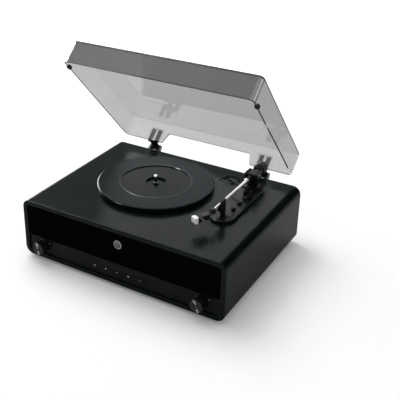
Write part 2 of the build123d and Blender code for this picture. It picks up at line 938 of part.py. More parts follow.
# Platter: a stepped dish with a belt rim underneath
with BuildPart() as platter:
    lip_inner = platter_radius - platter_lip
    with BuildSketch(turning(platter_x, platter_y)):
        with BuildLine():
            Polyline(
                (shaft_radius + shaft_clearance, recess_bottom),
                (recess_radius + hub_plate, recess_bottom),
                (recess_radius + hub_plate, plate_bottom),
                (belt_rim_radius - belt_rim_wall, plate_bottom),
                (belt_rim_radius - belt_rim_wall, belt_bottom),
                (belt_rim_radius, belt_bottom),
                (belt_rim_radius, plate_bottom),
                (lip_inner, plate_bottom),
                (lip_inner, rim_bottom),
                (platter_radius, rim_bottom),
                (platter_radius, lip_top),
                (lip_inner, lip_top),
                (lip_inner, plate_top),
                (recess_radius, plate_top),
                (recess_radius, recess_floor),
                (hub_boss_radius, recess_floor),
                (hub_boss_radius, hub_top),
                (shaft_radius + shaft_clearance, hub_top),
                close=True,
            )
        make_face()
    revolve(axis=upright(platter_x, platter_y))
    round_edges = platter.edges().filter_by(GeomType.CIRCLE)
    rim_edges = round_edges.filter_by(lambda e: e.radius > platter_radius - slack)
    fillet(rim_edges.sort_by(Axis.Z)[-1], platter_rounding)
pieces["platter"] = platter

# Mat: a rubber ring, whose inner edge is the step that shows on the platter
with BuildPart() as platter_mat:
    with BuildSketch(level(platter_x, platter_y, plate_top)):
        Circle(mat_outer_radius)
        Circle(mat_inner_radius, mode=Mode.SUBTRACT)
    extrude(amount=mat_thickness)
    fillet(platter_mat.faces().sort_by(Axis.Z)[-1].edges(), mat_rounding)
pieces["platter_mat"] = platter_mat

with BuildPart() as spindle:
    with BuildSketch(turning(platter_x, platter_y)):
        with BuildLine():
            Polyline(
                (0, spindle_bottom),
                (shaft_radius, spindle_bottom),
                (shaft_radius, recess_bottom - spindle_flange),
                (spindle_flange_radius, recess_bottom - spindle_flange),
                (spindle_flange_radius, recess_bottom),
                (shaft_radius, recess_bottom),
                (shaft_radius, hub_top),
                (spindle_radius, hub_top),
                (spindle_radius, spindle_top - spindle_radius),
            )
            TangentArc((spindle_radius, spindle_top - spindle_radius), (0, spindle_top), tangent=(0, 1))
            Line((0, spindle_top), (0, spindle_bottom))
        make_face()
    revolve(axis=upright(platter_x, platter_y))
pieces["spindle"] = spindle

with BuildPart() as bearing_bush:
    bush_bottom = deck_top - bush_length
    with BuildSketch(turning(platter_x, platter_y)):
        with BuildLine():
            Polyline(
                (0, bush_bottom),
                (bush_radius, bush_bottom),
                (bush_radius, deck_top),
                (bush_flange_radius, deck_top),
                (bush_flange_radius, deck_top + bush_flange),
                (shaft_radius + shaft_clearance, deck_top + bush_flange),
                (shaft_radius + shaft_clearance, bush_bottom + bush_floor),
                (0, bush_bottom + bush_floor),
                close=True,
            )
        make_face()
    revolve(axis=upright(platter_x, platter_y))
pieces["bearing_bush"] = bearing_bush

# Motor under the deck, its pulley above the deck, and the belt round both
with BuildPart() as motor:
    with BuildSketch(level(motor_x, motor_y, deck_bottom)):
        Circle(motor_radius)
        Circle(motor_shaft_radius + shaft_clearance, mode=Mode.SUBTRACT)
    extrude(amount=-motor_height)
    fillet(motor.faces().sort_by(Axis.Z)[0].outer_wire().edges(), motor_rounding)
    with BuildSketch(level(motor_x, motor_y, deck_bottom)):
        SlotOverall(2 * (motor_radius + motor_ear), motor_bracket_width)
        Circle(motor_shaft_radius + shaft_clearance, mode=Mode.SUBTRACT)
    extrude(amount=-motor_bracket_thickness)
pieces["motor"] = motor

with BuildPart() as motor_pulley:
    pulley_bottom = belt_bottom - fit_gap - pulley_flange
    with BuildSketch(turning(motor_x, motor_y)):
        with BuildLine():
            Polyline(
                (0, deck_bottom - motor_height + motor_shaft_end),
                (motor_shaft_radius, deck_bottom - motor_height + motor_shaft_end),
                (motor_shaft_radius, pulley_bottom),
                (pulley_radius + pulley_flange, pulley_bottom),
                (pulley_radius + pulley_flange, pulley_bottom + pulley_flange),
                (pulley_radius, pulley_bottom + pulley_flange),
                (pulley_radius, plate_bottom - fit_gap),
                (0, plate_bottom - fit_gap),
                close=True,
            )
        make_face()
    revolve(axis=upright(motor_x, motor_y))
pieces["motor_pulley"] = motor_pulley

with BuildPart() as drive_belt:
    for grow, operation in ((fit_gap + belt_thickness, Mode.ADD), (fit_gap, Mode.SUBTRACT)):
        with BuildSketch(Plane.XY.offset(belt_bottom)):
            with Locations((platter_x, platter_y)):
                Circle(belt_rim_radius + grow)
            with Locations((motor_x, motor_y)):
                Circle(pulley_radius + grow)
            make_hull()
        extrude(amount=belt_height, mode=operation)
pieces["drive_belt"] = drive_belt

# Adapter for single records, resting in its well
with BuildPart() as adapter_45:
    adapter_bottom = deck_top - well_depth + seat_gap
    adapter_top = adapter_bottom + adapter_height
    adapter_bore = spindle_radius + adapter_clearance
    with BuildSketch(turning(adapter_x, adapter_y)):
        with BuildLine():
            Polyline(
                (adapter_bore, adapter_top),
                (adapter_bore, adapter_bottom),
                (adapter_radius, adapter_bottom),
                (adapter_radius, adapter_top - adapter_edge),
            )
            ThreePointArc(
                (adapter_radius, adapter_top - adapter_edge),
                (adapter_crown_radius, adapter_top - adapter_crown),
                (adapter_bore, adapter_top),
            )
        make_face()
    revolve(axis=upright(adapter_x, adapter_y))
    with BuildSketch(level(adapter_x, adapter_y, adapter_bottom, angle=adapter_turn)):
        with PolarLocations(adapter_slot_radius, 2):
            SlotOverall(adapter_slot_length, adapter_slot_width, rotation=90)
    extrude(amount=adapter_height, mode=Mode.SUBTRACT)
pieces["adapter_45"] = adapter_45

# Tonearm base: a long plate with round ends
with BuildPart() as arm_base_plate:
    with BuildSketch(level(base_x, base_middle_y, deck_top, angle=90)):
        SlotOverall(base_length, base_width)
    extrude(amount=base_thickness)
    fillet(arm_base_plate.faces().sort_by(Axis.Z)[-1].edges(), base_rounding)
    with Locations((arm_x, pivot_y, base_top)):
        Hole(column_stem_radius + press_gap, depth=base_thickness)
    with BuildSketch(Plane.XY.offset(base_top)):
        for y, ahead, behind in selectors.values():
            with Locations((selector_x, y + (behind - ahead) / 2)):
                SlotOverall(
                    ahead + behind + selector_neck + 2 * fit_gap,
                    selector_neck + 2 * fit_gap,
                    rotation=90,
                )
    extrude(amount=-selector_depth, mode=Mode.SUBTRACT)
pieces["arm_base_plate"] = arm_base_plate

for name, (y, ahead, behind) in selectors.items():
    with BuildPart() as selector:
        with BuildSketch(level(selector_x, y, base_top - selector_depth + fit_gap)):
            Circle(selector_neck / 2)
        extrude(amount=selector_depth)
        with BuildSketch(level(selector_x, y, base_top + fit_gap, angle=90)):
            RectangleRounded(selector_knob_length, selector_knob_width, selector_knob_corner)
        extrude(amount=selector_knob_height - fit_gap)
        fillet(selector.faces().sort_by(Axis.Z)[-1].edges(), selector_knob_rounding)
    pieces[name] = selector

# Pivot column: fixed bearing of the arm, with its stem through the deck
with BuildPart() as pivot_column:
    with BuildSketch(turning(arm_x, pivot_y)):
        with BuildLine():
            Polyline(
                (yoke_shaft_radius + shaft_clearance, deck_top - column_stem),
                (column_stem_radius, deck_top - column_stem),
                (column_stem_radius, base_top),
                (column_flange_radius, base_top),
                (column_flange_radius, base_top + column_flange),
                (column_radius, base_top + column_flange + column_step),
                (column_radius, column_top),
                (yoke_shaft_radius + shaft_clearance, column_top),
                close=True,
            )
        make_face()
    revolve(axis=upright(arm_x, pivot_y))
pieces["pivot_column"] = pivot_column

# Yoke: swings on the column and holds the gimbal between two cheeks
with BuildPart() as arm_yoke:
    yoke_middle = (yoke_bottom + arm_z + yoke_top) / 2
    yoke_height = arm_z + yoke_top - yoke_bottom
    with BuildSketch(Plane(origin=(arm_x, pivot_y, yoke_middle), x_dir=(0, 1, 0), z_dir=(1, 0, 0))):
        RectangleRounded(yoke_length, yoke_height, yoke_corner)
    extrude(amount=yoke_width / 2, both=True)
    with Locations((arm_x, pivot_y, yoke_deck + yoke_height)):
        Box(2 * cheek_x, 2 * yoke_length, 2 * yoke_height, mode=Mode.SUBTRACT)
    outer_edges = arm_yoke.edges().filter_by(Axis.Y).filter_by(
        lambda e: abs(abs(e.center().X - arm_x) - yoke_width / 2) < slack
    )
    fillet(outer_edges, yoke_edge)
    with BuildSketch(level(arm_x, pivot_y, yoke_bottom)):
        Circle(yoke_shaft_radius)
    extrude(amount=-(column_height + column_stem / 2))
    with BuildSketch(Plane(origin=(arm_x, pivot_y, arm_z), x_dir=(0, 1, 0), z_dir=(1, 0, 0))):
        Circle(pin_radius + press_gap)
    extrude(amount=yoke_width, both=True, mode=Mode.SUBTRACT)
pieces["arm_yoke"] = arm_yoke

with BuildPart() as pivot_pins:
    for side in (-1, 1):
        with BuildSketch(Plane(origin=(arm_x + side * yoke_width / 2, pivot_y, arm_z), x_dir=(0, 1, 0),
                               z_dir=(side, 0, 0))):
            Circle(pin_radius)
        extrude(amount=-(yoke_wall + fit_gap + pin_reach - seat_gap))
        with BuildSketch(Plane(origin=(arm_x + side * yoke_width / 2, pivot_y, arm_z), x_dir=(0, 1, 0),
                               z_dir=(side, 0, 0))):
            Circle(pin_radius + pin_head_margin)
        extrude(amount=pin_head_height)
pieces["pivot_pins"] = pivot_pins

# Gimbal block: tilts on the two pins and holds the tube in its nose and the stub behind
with BuildPart() as gimbal_block:
    with BuildSketch(arm_section(gimbal_back)):
        RectangleRounded(gimbal_width, gimbal_height, gimbal_corner)
    extrude(amount=gimbal_length)
    fillet(gimbal_block.edges().filter_by(Axis.X), gimbal_rounding)
    with BuildSketch(arm_section(gimbal_front)):
        Circle(nose_radius)
    extrude(amount=nose_length)
    fillet(gimbal_block.faces().sort_by(Axis.Y)[0].edges(), nose_rounding)
    with BuildSketch(arm_section(gimbal_front + tube_socket)):
        Circle(tube_radius + press_gap)
    extrude(amount=tube_socket + nose_length, mode=Mode.SUBTRACT)
    with BuildSketch(arm_section(gimbal_back)):
        Circle(stub_radius + press_gap)
    extrude(amount=tube_socket, mode=Mode.SUBTRACT)
    for side in (-1, 1):
        with BuildSketch(Plane(origin=(arm_x + side * gimbal_width / 2, pivot_y, arm_z), x_dir=(0, 1, 0),
                               z_dir=(side, 0, 0))):
            Circle(pin_radius + shaft_clearance)
        extrude(amount=-pin_reach, mode=Mode.SUBTRACT)
pieces["gimbal_block"] = gimbal_block

with BuildPart() as tonearm_tube:
    with BuildSketch(arm_section(gimbal_front + tube_socket)):
        Circle(tube_radius)
        Circle(tube_radius - tube_wall, mode=Mode.SUBTRACT)
    extrude(amount=gimbal_front + tube_socket - tube_front)
pieces["tonearm_tube"] = tonearm_tube

with BuildPart() as counterweight_stub:
    with BuildSketch(arm_section(gimbal_back + stub_length)):
        Circle(stub_radius)
    extrude(amount=stub_length + tube_socket - seat_gap)
    chamfer(counterweight_stub.faces().sort_by(Axis.Y)[-1].edges(), stub_chamfer)
pieces["counterweight_stub"] = counterweight_stub

with BuildPart() as counterweight:
    with BuildSketch(arm_section(weight_back)):
        Circle(weight_radius)
    extrude(amount=weight_length - weight_dial - weight_dial_gap)
    chamfer(counterweight.faces().filter_by(Axis.Y).edges(), weight_chamfer)
    with BuildSketch(arm_section(weight_front + weight_dial + weight_dial_gap)):
        Circle(weight_dial_radius - weight_dial_gap)
    extrude(amount=weight_dial_gap)
    with BuildSketch(arm_section(weight_front + weight_dial)):
        Circle(weight_dial_radius)
    extrude(amount=weight_dial)
    with BuildSketch(arm_section(weight_front)):
        Circle(stub_radius + shaft_clearance)
    extrude(amount=-(gimbal_back + stub_length - weight_front + seat_gap), mode=Mode.SUBTRACT)
pieces["counterweight"] = counterweight

# Headshell: a narrow channel, set at its offset angle at the front of the tube
shell_frame = level(arm_x, tube_front, arm_z - shell_drop, angle=-offset_angle)
block_back = -shell_length - seat_gap
block_front = block_back - stylus_block_length
collar_half_height = tube_radius + shell_collar_wall

with BuildPart() as headshell:
    with BuildSketch(shell_frame.offset(-shell_thickness)):
        with BuildLine():
            Polyline(
                (-shell_neck / 2, 0),
                (-shell_neck / 2, -shell_neck_length),
                (-shell_width / 2, -shell_shoulder),
                (-shell_width / 2, -shell_length),
                (shell_width / 2, -shell_length),
                (shell_width / 2, -shell_shoulder),
                (shell_neck / 2, -shell_neck_length),
                (shell_neck / 2, 0),
                close=True,
            )
        shell_outline = make_face()
        fillet(shell_outline.vertices().group_by(Axis.Y)[0], shell_corner)
    extrude(amount=shell_thickness)
    with BuildSketch(shell_frame.offset(-shell_thickness - shell_skirt)):
        with Locations((0, -(shell_length + shell_shoulder) / 2)):
            Rectangle(shell_width, shell_length - shell_shoulder)
            with Locations((0, -shell_wall)):
                Rectangle(shell_width - 2 * shell_wall, shell_length - shell_shoulder, mode=Mode.SUBTRACT)
    extrude(amount=shell_skirt)
    with BuildSketch(shell_frame.offset(shell_drop - collar_half_height)):
        with Locations((0, -shell_collar_setback)):
            RectangleRounded(shell_neck, shell_collar_length, shell_corner)
    extrude(amount=2 * collar_half_height)
    with BuildSketch(arm_section(tube_front + shell_bore_length)):
        Circle(tube_radius + press_gap)
    extrude(amount=shell_bore_length, mode=Mode.SUBTRACT)
pieces["headshell"] = headshell

with BuildPart() as cartridge:
    with BuildSketch(shell_frame.offset(-shell_thickness)):
        with Locations((0, cartridge_length / 2 - shell_length)):
            Rectangle(shell_width - 2 * (shell_wall + seat_gap), cartridge_length)
    extrude(amount=-cartridge_height)
pieces["cartridge"] = cartridge

# Stylus unit: the pale block that plugs into the front of the cartridge
with BuildPart() as stylus_assembly:
    block_side = Plane(
        origin=shell_frame.from_local_coords((-shell_width / 2, block_front, 0)),
        x_dir=shell_frame.y_dir,
        z_dir=shell_frame.x_dir,
    )
    with BuildSketch(block_side):
        with BuildLine():
            Polyline(
                (0, 0),
                (stylus_block_length, 0),
                (stylus_block_length, -stylus_block_height),
                (stylus_block_nose, -stylus_block_height),
                (0, stylus_block_nose - stylus_block_height),
                close=True,
            )
        make_face()
    extrude(amount=shell_width)
    fillet(stylus_assembly.edges().filter_by(Axis.Z), stylus_block_corner)
    with BuildSketch(shell_frame.offset(-stylus_block_height)):
        with Locations((0, block_front + stylus_block_nose + stylus_bar_length / 2)):
            Rectangle(stylus_bar_width, stylus_bar_length)
    extrude(amount=-stylus_bar_height)
    with BuildSketch(shell_frame.offset(-stylus_block_height - stylus_bar_height)):
        with Locations((0, block_front + 2 * stylus_block_nose)):
            Rectangle(stylus_tip_width, stylus_tip_width)
    extrude(amount=-stylus_tip_height, taper=stylus_tip_taper)
pieces["stylus_assembly"] = stylus_assembly

with BuildPart() as finger_lift:
    blade_back = -shell_length + lift_blade_setback + lift_blade_width
    blade_tip = (lift_blade_reach, -lift_blade_droop)
    blade_bend = (lift_blade_reach / 2, -lift_blade_droop / 3)
    blade_root = shell_frame.from_local_coords((shell_width / 2, blade_back, -lift_blade_drop))
    with BuildSketch(Plane(origin=blade_root, x_dir=shell_frame.x_dir, z_dir=-shell_frame.y_dir)):
        with BuildLine():
            ThreePointArc((0, 0), blade_bend, blade_tip)
            Line(blade_tip, (lift_blade_reach, -lift_blade_droop - lift_blade_thickness))
            ThreePointArc(
                (lift_blade_reach, -lift_blade_droop - lift_blade_thickness),
                (lift_blade_reach / 2, -lift_blade_droop / 3 - lift_blade_thickness),
                (0, -lift_blade_thickness),
            )
            Line((0, -lift_blade_thickness), (0, 0))
        make_face()
    extrude(amount=lift_blade_width)
pieces["finger_lift"] = finger_lift

# Arm rest: a fin on the outer side of the tube, with a ledge under the tube
with BuildPart() as arm_rest:
    fin_x = arm_x + tube_radius + fit_gap
    fin_top = arm_z + rest_fin_rise
    with BuildSketch(level(fin_x + rest_fin / 2, rest_y, base_top)):
        RectangleRounded(rest_foot_width, rest_foot_length, rest_rounding)
    extrude(amount=rest_foot_height)
    with BuildSketch(facing(rest_y + rest_width / 2)):
        with BuildLine():
            Polyline(
                (fin_x + rest_fin, base_top),
                (fin_x + rest_fin, fin_top),
                (fin_x + rest_lead, fin_top),
                (fin_x, fin_top - rest_lead),
                (fin_x, rest_ledge),
                (arm_x - rest_ledge_reach, rest_ledge),
                (arm_x - rest_ledge_reach, rest_ledge - rest_ledge_thickness / 2),
                (fin_x, rest_ledge - 2 * rest_ledge_thickness),
                (fin_x, base_top),
                close=True,
            )
        make_face()
    extrude(amount=rest_width)
    fillet(arm_rest.edges().filter_by(Axis.Z).filter_by(lambda e: e.length > rest_fin_rise), rest_rounding)
pieces["arm_rest"] = arm_rest

# Cueing: a housing, a lever at its side, and a curved bar that rises under the tube
with BuildPart() as cue_housing:
    with BuildSketch(level(cue_pin_x, cue_pin_y, base_top)):
        RectangleRounded(cue_housing_width, cue_housing_length, cue_housing_corner)
        Circle(cue_pin_radius + shaft_clearance, mode=Mode.SUBTRACT)
    extrude(amount=cue_housing_height)
    with BuildSketch(Plane(origin=(cue_pin_x + cue_housing_width / 2, cue_lever_y, cue_lever_z),
                           x_dir=(0, 1, 0), z_dir=(1, 0, 0))):
        Circle(cue_lever_pin + shaft_clearance)
    extrude(amount=-cue_lever_pin_depth, mode=Mode.SUBTRACT)
pieces["cue_housing"] = cue_housing

bar_bottom = cue_bar_top - cue_bar_height
cue_sweep = cue_pin_angle + cue_outer_margin - cue_inner_angle
cue_arc = CenterArc((arm_x, pivot_y), cue_radius, -90 + cue_inner_angle, cue_sweep)

with BuildPart() as lift_bar:
    with BuildSketch(Plane.XY.offset(bar_bottom)):
        SlotArc(cue_arc, cue_bar_width)
    extrude(amount=cue_bar_height)
    with BuildSketch(level(cue_pin_x, cue_pin_y, base_top + cue_pin_lift)):
        Circle(cue_pin_radius)
    extrude(amount=bar_bottom - base_top)
pieces["lift_bar"] = lift_bar

with BuildPart() as cue_lever:
    lever_plane = Plane(origin=(cue_lever_x, cue_lever_y, cue_lever_z), x_dir=(0, 1, 0), z_dir=(1, 0, 0))
    with BuildSketch(lever_plane):
        with BuildLine():
            Polyline(
                (cue_lever_heel, -cue_lever_half_height),
                (cue_lever_heel, cue_lever_half_height),
                (-cue_lever_bend, cue_lever_crest),
                (-cue_lever_length, cue_lever_tip_bottom + cue_lever_tip_height),
                (-cue_lever_length, cue_lever_tip_bottom),
                (-cue_lever_bend, -cue_lever_belly),
                close=True,
            )
        make_face()
    extrude(amount=cue_lever_thickness)
    with BuildSketch(lever_plane):
        Circle(cue_lever_pin)
    extrude(amount=-(cue_lever_pin_depth + fit_gap - seat_gap))
    with BuildSketch(level(cue_lever_x + cue_lever_thickness - cue_tab_width / 2,
                           cue_lever_y - cue_lever_length, cue_lever_z + cue_lever_tip_bottom)):
        RectangleRounded(cue_tab_width, cue_tab_length, cue_tab_corner)
    extrude(amount=cue_lever_tip_height)
pieces["cue_lever"] = cue_lever

# Cover: a clear moulded box without a floor, notched at the rear between the hinges
with BuildPart() as dust_cover:
    with BuildSketch(lid_frame.offset(lid_rim)):
        with Locations((0, lid_middle)):
            RectangleRounded(lid_width, lid_depth, lid_corner)
    extrude(amount=lid_height)
    fillet(dust_cover.faces().sort_by(Axis(lid_frame.origin, lid_frame.z_dir))[-1].edges(), lid_edge)
    with BuildSketch(lid_frame.offset(lid_rim)):
        with Locations((0, lid_middle)):
            RectangleRounded(lid_width - 2 * lid_wall, lid_depth - 2 * lid_wall, lid_corner - lid_wall)
    extrude(amount=lid_height - lid_wall, mode=Mode.SUBTRACT)
    with BuildSketch(lid_wall_plane(lid_rear + past, lid_rim)):
        with BuildLine():
            Polyline(
                (-notch_half_width - notch_lean / notch_height, -past),
                (-notch_half_width + notch_lean, notch_height),
                (notch_half_width - notch_lean, notch_height),
                (notch_half_width + notch_lean / notch_height, -past),
                close=True,
            )
        notch = make_face()
        fillet(notch.vertices().group_by(Axis(lid_frame.origin, lid_frame.z_dir))[-1], notch_corner)
    extrude(amount=lid_wall + 2 * past, mode=Mode.SUBTRACT)
pieces["dust_cover"] = dust_cover

# Hinge sockets: clear boxes on the rear wall of the cover, each with two slots
with BuildPart() as hinge_sockets:
    with BuildSketch(lid_frame.offset(socket_bottom)):
        with Locations(*[(x, (lid_rear + socket_back) / 2) for x in hinge_places]):
            Rectangle(socket_width, socket_back - lid_rear)
    extrude(amount=prong_height + socket_wall)
    with BuildSketch(lid_frame.offset(socket_bottom)):
        for x in hinge_places:
            with Locations(*[
                (x + side * (prong_gap + prong_width) / 2, prong_back - prong_thickness / 2)
                for side in (-1, 1)
            ]):
                Rectangle(prong_width + 2 * seat_gap, prong_thickness + 2 * seat_gap)
    extrude(amount=prong_height + seat_gap, mode=Mode.SUBTRACT)
pieces["hinge_sockets"] = hinge_sockets

# Hinge arms: a barrel on the pin, a leaf over the rear edge and two prongs
with BuildPart() as hinge_arms:
    for x in hinge_places:
        with BuildSketch(lid_side_plane(x)):
            Circle(barrel_radius)
        extrude(amount=barrel_half_length, both=True)
        with BuildSketch(lid_frame.offset(leaf_bottom)):
            with BuildLine():
                Polyline(
                    (x - barrel_half_length, 0),
                    (x - barrel_half_length, -hinge_behind + hinge_leaf_step),
                    (x - prong_gap / 2 - prong_width, -hinge_behind - hinge_leaf_lead),
                    (x - prong_gap / 2 - prong_width, prong_back - prong_thickness),
                    (x + prong_gap / 2 + prong_width, prong_back - prong_thickness),
                    (x + prong_gap / 2 + prong_width, -hinge_behind - hinge_leaf_lead),
                    (x + barrel_half_length, -hinge_behind + hinge_leaf_step),
                    (x + barrel_half_length, 0),
                    close=True,
                )
            make_face()
        extrude(amount=hinge_leaf)
        with BuildSketch(lid_frame.offset(leaf_bottom)):
            with Locations(*[
                (x + side * (prong_gap + prong_width) / 2, prong_back - prong_thickness / 2)
                for side in (-1, 1)
            ]):
                Rectangle(prong_width, prong_thickness)
        extrude(amount=socket_bottom + prong_height - leaf_bottom)
        with BuildSketch(lid_side_plane(x)):
            Circle(hinge_pin_radius + shaft_clearance)
        extrude(amount=barrel_half_length + past, both=True, mode=Mode.SUBTRACT)
pieces["hinge_arms"] = hinge_arms

# Hinge bases: plates on the rear face with two ears each
with BuildPart() as hinge_bases:
    for x in hinge_places:
        with BuildSketch(facing(rear_y + hinge_plate_thickness)):
            with Locations((x, axis_z - hinge_plate_height / 2)):
                RectangleRounded(hinge_plate_width, hinge_plate_height, hinge_plate_corner)
            near_screws = [place for place in hinge_screw_places if abs(place[0] - x) < hinge_plate_width]
            with Locations(*near_screws):
                Circle(screw_radius + seat_gap, mode=Mode.SUBTRACT)
        extrude(amount=hinge_plate_thickness)
        for side in (-1, 1):
            ear_origin = (x + side * ear_inner, 0, 0)
            with BuildSketch(Plane(origin=ear_origin, x_dir=(0, side, 0), z_dir=(side, 0, 0))):
                with Locations((side * axis_y, axis_z)):
                    Circle(barrel_radius)
                ear_foot = side * (rear_y + hinge_plate_thickness / 2)
                with Locations((ear_foot, axis_z - hinge_plate_height / 3)):
                    Rectangle(hinge_plate_thickness, hinge_plate_height / 2)
                make_hull()
                with Locations((side * axis_y, axis_z)):
                    Circle(hinge_pin_radius + press_gap, mode=Mode.SUBTRACT)
            extrude(amount=hinge_ear)
pieces["hinge_bases"] = hinge_bases

with BuildPart() as hinge_hardware:
    for x in hinge_places:
        with BuildSketch(Plane(origin=(x, axis_y, axis_z), x_dir=(0, 1, 0), z_dir=(1, 0, 0))):
            Circle(hinge_pin_radius)
        extrude(amount=ear_inner + hinge_ear + hinge_pin_proud, both=True)
    with BuildSketch(facing(rear_y + hinge_plate_thickness)):
        with Locations(*hinge_screw_places):
            Circle(screw_head_radius)
    extrude(amount=-screw_head_height, taper=screw_head_taper)
    with BuildSketch(facing(rear_y + hinge_plate_thickness)):
        with Locations(*hinge_screw_places):
            Circle(screw_radius - press_gap)
    extrude(amount=hinge_plate_thickness)
pieces["hinge_hardware"] = hinge_hardware

# Bumpers: rubber saddles on the side rims, on which the closed cover rests
with BuildPart() as lid_bumpers:
    bumper_y = lid_rear - lid_depth + bumper_setback
    bumper_bottom = lid_rim - lid_rim_gap + fit_gap
    for side in (-1, 1):
        wall_x = side * (lid_width - lid_wall) / 2
        with BuildSketch(lid_frame.offset(bumper_bottom)):
            with Locations((wall_x, bumper_y)):
                RectangleRounded(lid_wall + 2 * bumper_wall, bumper_length, bumper_corner)
        extrude(amount=lid_rim_gap - fit_gap + bumper_grip)
        with BuildSketch(lid_frame.offset(lid_rim)):
            with Locations((wall_x, bumper_y)):
                Rectangle(lid_wall + 2 * press_gap, bumper_length + 2 * past)
        extrude(amount=bumper_grip + past, mode=Mode.SUBTRACT)
pieces["lid_bumpers"] = lid_bumpers

os.makedirs("parts", exist_ok=True)
for name, piece in pieces.items():
    piece.part.label = name
    export_step(piece.part, "parts/" + name + ".step")

pulley_turns = round(belt_rim_radius / pulley_radius, 2)
print(len(pieces), "nodes; the pulley turns", pulley_turns, "times for each turn of the platter")
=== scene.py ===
"""Record player with an open clear cover: its finishes, its small fittings and a plain studio."""

import math

import bmesh
import bpy
from mathutils import Euler, Matrix, Vector


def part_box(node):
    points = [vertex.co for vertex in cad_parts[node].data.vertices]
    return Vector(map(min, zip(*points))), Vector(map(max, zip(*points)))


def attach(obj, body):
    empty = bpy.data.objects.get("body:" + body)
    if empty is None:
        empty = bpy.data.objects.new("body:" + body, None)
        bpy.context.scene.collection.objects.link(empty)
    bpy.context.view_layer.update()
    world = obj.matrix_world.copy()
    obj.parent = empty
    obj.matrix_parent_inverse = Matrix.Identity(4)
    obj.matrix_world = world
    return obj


bl_info = {
    "name": "Record Player Finishes",
    "version": (1, 0, 0),
    "blender": (4, 5, 0),
    "location": "View3D > Sidebar > Record Player",
    "description": "Finishes, fittings and studio for a record player with a clear cover",
    "category": "Object",
}

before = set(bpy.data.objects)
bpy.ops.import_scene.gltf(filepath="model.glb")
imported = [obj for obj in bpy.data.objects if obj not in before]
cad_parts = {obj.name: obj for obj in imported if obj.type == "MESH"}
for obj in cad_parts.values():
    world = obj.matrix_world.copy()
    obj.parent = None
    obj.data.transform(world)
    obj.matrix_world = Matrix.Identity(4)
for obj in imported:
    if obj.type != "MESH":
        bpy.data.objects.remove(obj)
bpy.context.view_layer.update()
MM = 0.001
KNOBS = ("volume", "tone")
TURNS = {"X": (0, math.pi / 2, 0), "Y": (math.pi / 2, 0, 0), "Z": (0, 0, 0)}
WAYS = {"X": Vector((1, 0, 0)), "Y": Vector((0, 1, 0)), "Z": Vector((0, 0, 1))}


def middle(node):
    """Middle of a node's box, in metres."""
    low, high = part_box(node)
    return (low + high) / 2


def front_of(node):
    """Middle of the front face of a node's box."""
    low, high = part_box(node)
    return Vector(((low.x + high.x) / 2, low.y, (low.z + high.z) / 2))


# Settings that a user can change


def number_setting(name, description, default, **kind):
    """One number."""
    return bpy.props.FloatProperty(name=name, description=description, default=default, **kind)


def length_setting(name, description, default):
    """A length in metres."""
    return number_setting(name, description, default, unit="LENGTH")


def angle_setting(name, description, degrees):
    """An angle, given in degrees."""
    return number_setting(name, description, math.radians(degrees), subtype="ANGLE")


def level_setting(name, description, default):
    """A brightness or strength from 0 up."""
    return number_setting(name, description, default, min=0)


def power_setting(name, description, default):
    """A lamp's power in watts."""
    return number_setting(name, description, default, min=0, subtype="POWER")


def vector_setting(name, description, default, **kind):
    """Three numbers."""
    return bpy.props.FloatVectorProperty(
        name=name, description=description, default=default, size=3, **kind)


def place_setting(name, description, default):
    """A place in metres."""
    return vector_setting(name, description, default, subtype="TRANSLATION", unit="LENGTH")


def direction_setting(name, description, default):
    """A direction from the player."""
    return vector_setting(name, description, default, subtype="DIRECTION")


def color_setting(name, description, default):
    """A colour."""
    return vector_setting(name, description, default, subtype="COLOR", min=0, max=1)


# Shader nodes

# Numbers of a mix node's two colour inputs and of its colour output
MIX_FIRST, MIX_SECOND, MIX_RESULT = 6, 7, 2
# Kinds of a node group's sockets
COLOR, NUMBER, VECTOR = "NodeSocketColor", "NodeSocketFloat", "NodeSocketVector"


def feed(tree, slot, value):
    """Links a socket to an input, or gives the input a plain value."""
    if isinstance(value, bpy.types.NodeSocket):
        tree.links.new(value, slot)
    else:
        slot.default_value = value


def set_node(tree, node, **values):
    """Each value feeds the input of that name, or sets the node's property of that name."""
    for key, value in values.items():
        name = key.replace("_", " ")
        if name in node.inputs:
            feed(tree, node.inputs[name], value)
        else:
            setattr(node, key, value)
    return node


def add_node(tree, kind, **values):
    """New node with its values."""
    return set_node(tree, tree.nodes.new(kind), **values)


def math_node(tree, operation, *given, kind="ShaderNodeMath"):
    """Number that a math node gives for sockets or plain values."""
    node = add_node(tree, kind, operation=operation)
    for slot, value in zip(node.inputs, given):
        feed(tree, slot, value)
    return node.outputs["Value"]


def product(tree, first, second):
    """Product of two numbers, each a socket or a plain value."""
    return math_node(tree, "MULTIPLY", first, second)


def vector_node(tree, operation, *given):
    """Number that a vector math node gives for one or two vectors."""
    return math_node(tree, operation, *given, kind="ShaderNodeVectorMath")


def blend(tree, factor, first, second):
    """Colour between two colours, each a socket or a plain colour."""
    node = add_node(tree, "ShaderNodeMix", data_type="RGBA", Factor=factor)
    feed(tree, node.inputs[MIX_FIRST], first)
    feed(tree, node.inputs[MIX_SECOND], second)
    return node.outputs[MIX_RESULT]


def fade(tree, value, limits, before, after):
    """Level that changes smoothly from one to another while a value passes between two limits."""
    node = add_node(tree, "ShaderNodeMapRange", interpolation_type="SMOOTHSTEP", Value=value,
                    From_Min=limits[0], From_Max=limits[1], To_Min=before, To_Max=after)
    return node.outputs["Result"]


def object_place(tree):
    """Object coordinates."""
    return tree.nodes.new("ShaderNodeTexCoord").outputs["Object"]


def new_group(name, inputs, outputs):
    """Shader node group with named sockets; gives its tree and what its input node gives."""
    tree = bpy.data.node_groups.new(name, "ShaderNodeTree")
    for way, sockets in (("INPUT", inputs), ("OUTPUT", outputs)):
        for label, kind in sockets.items():
            tree.interface.new_socket(name=label, in_out=way, socket_type=kind)
    return tree, tree.nodes.new("NodeGroupInput").outputs


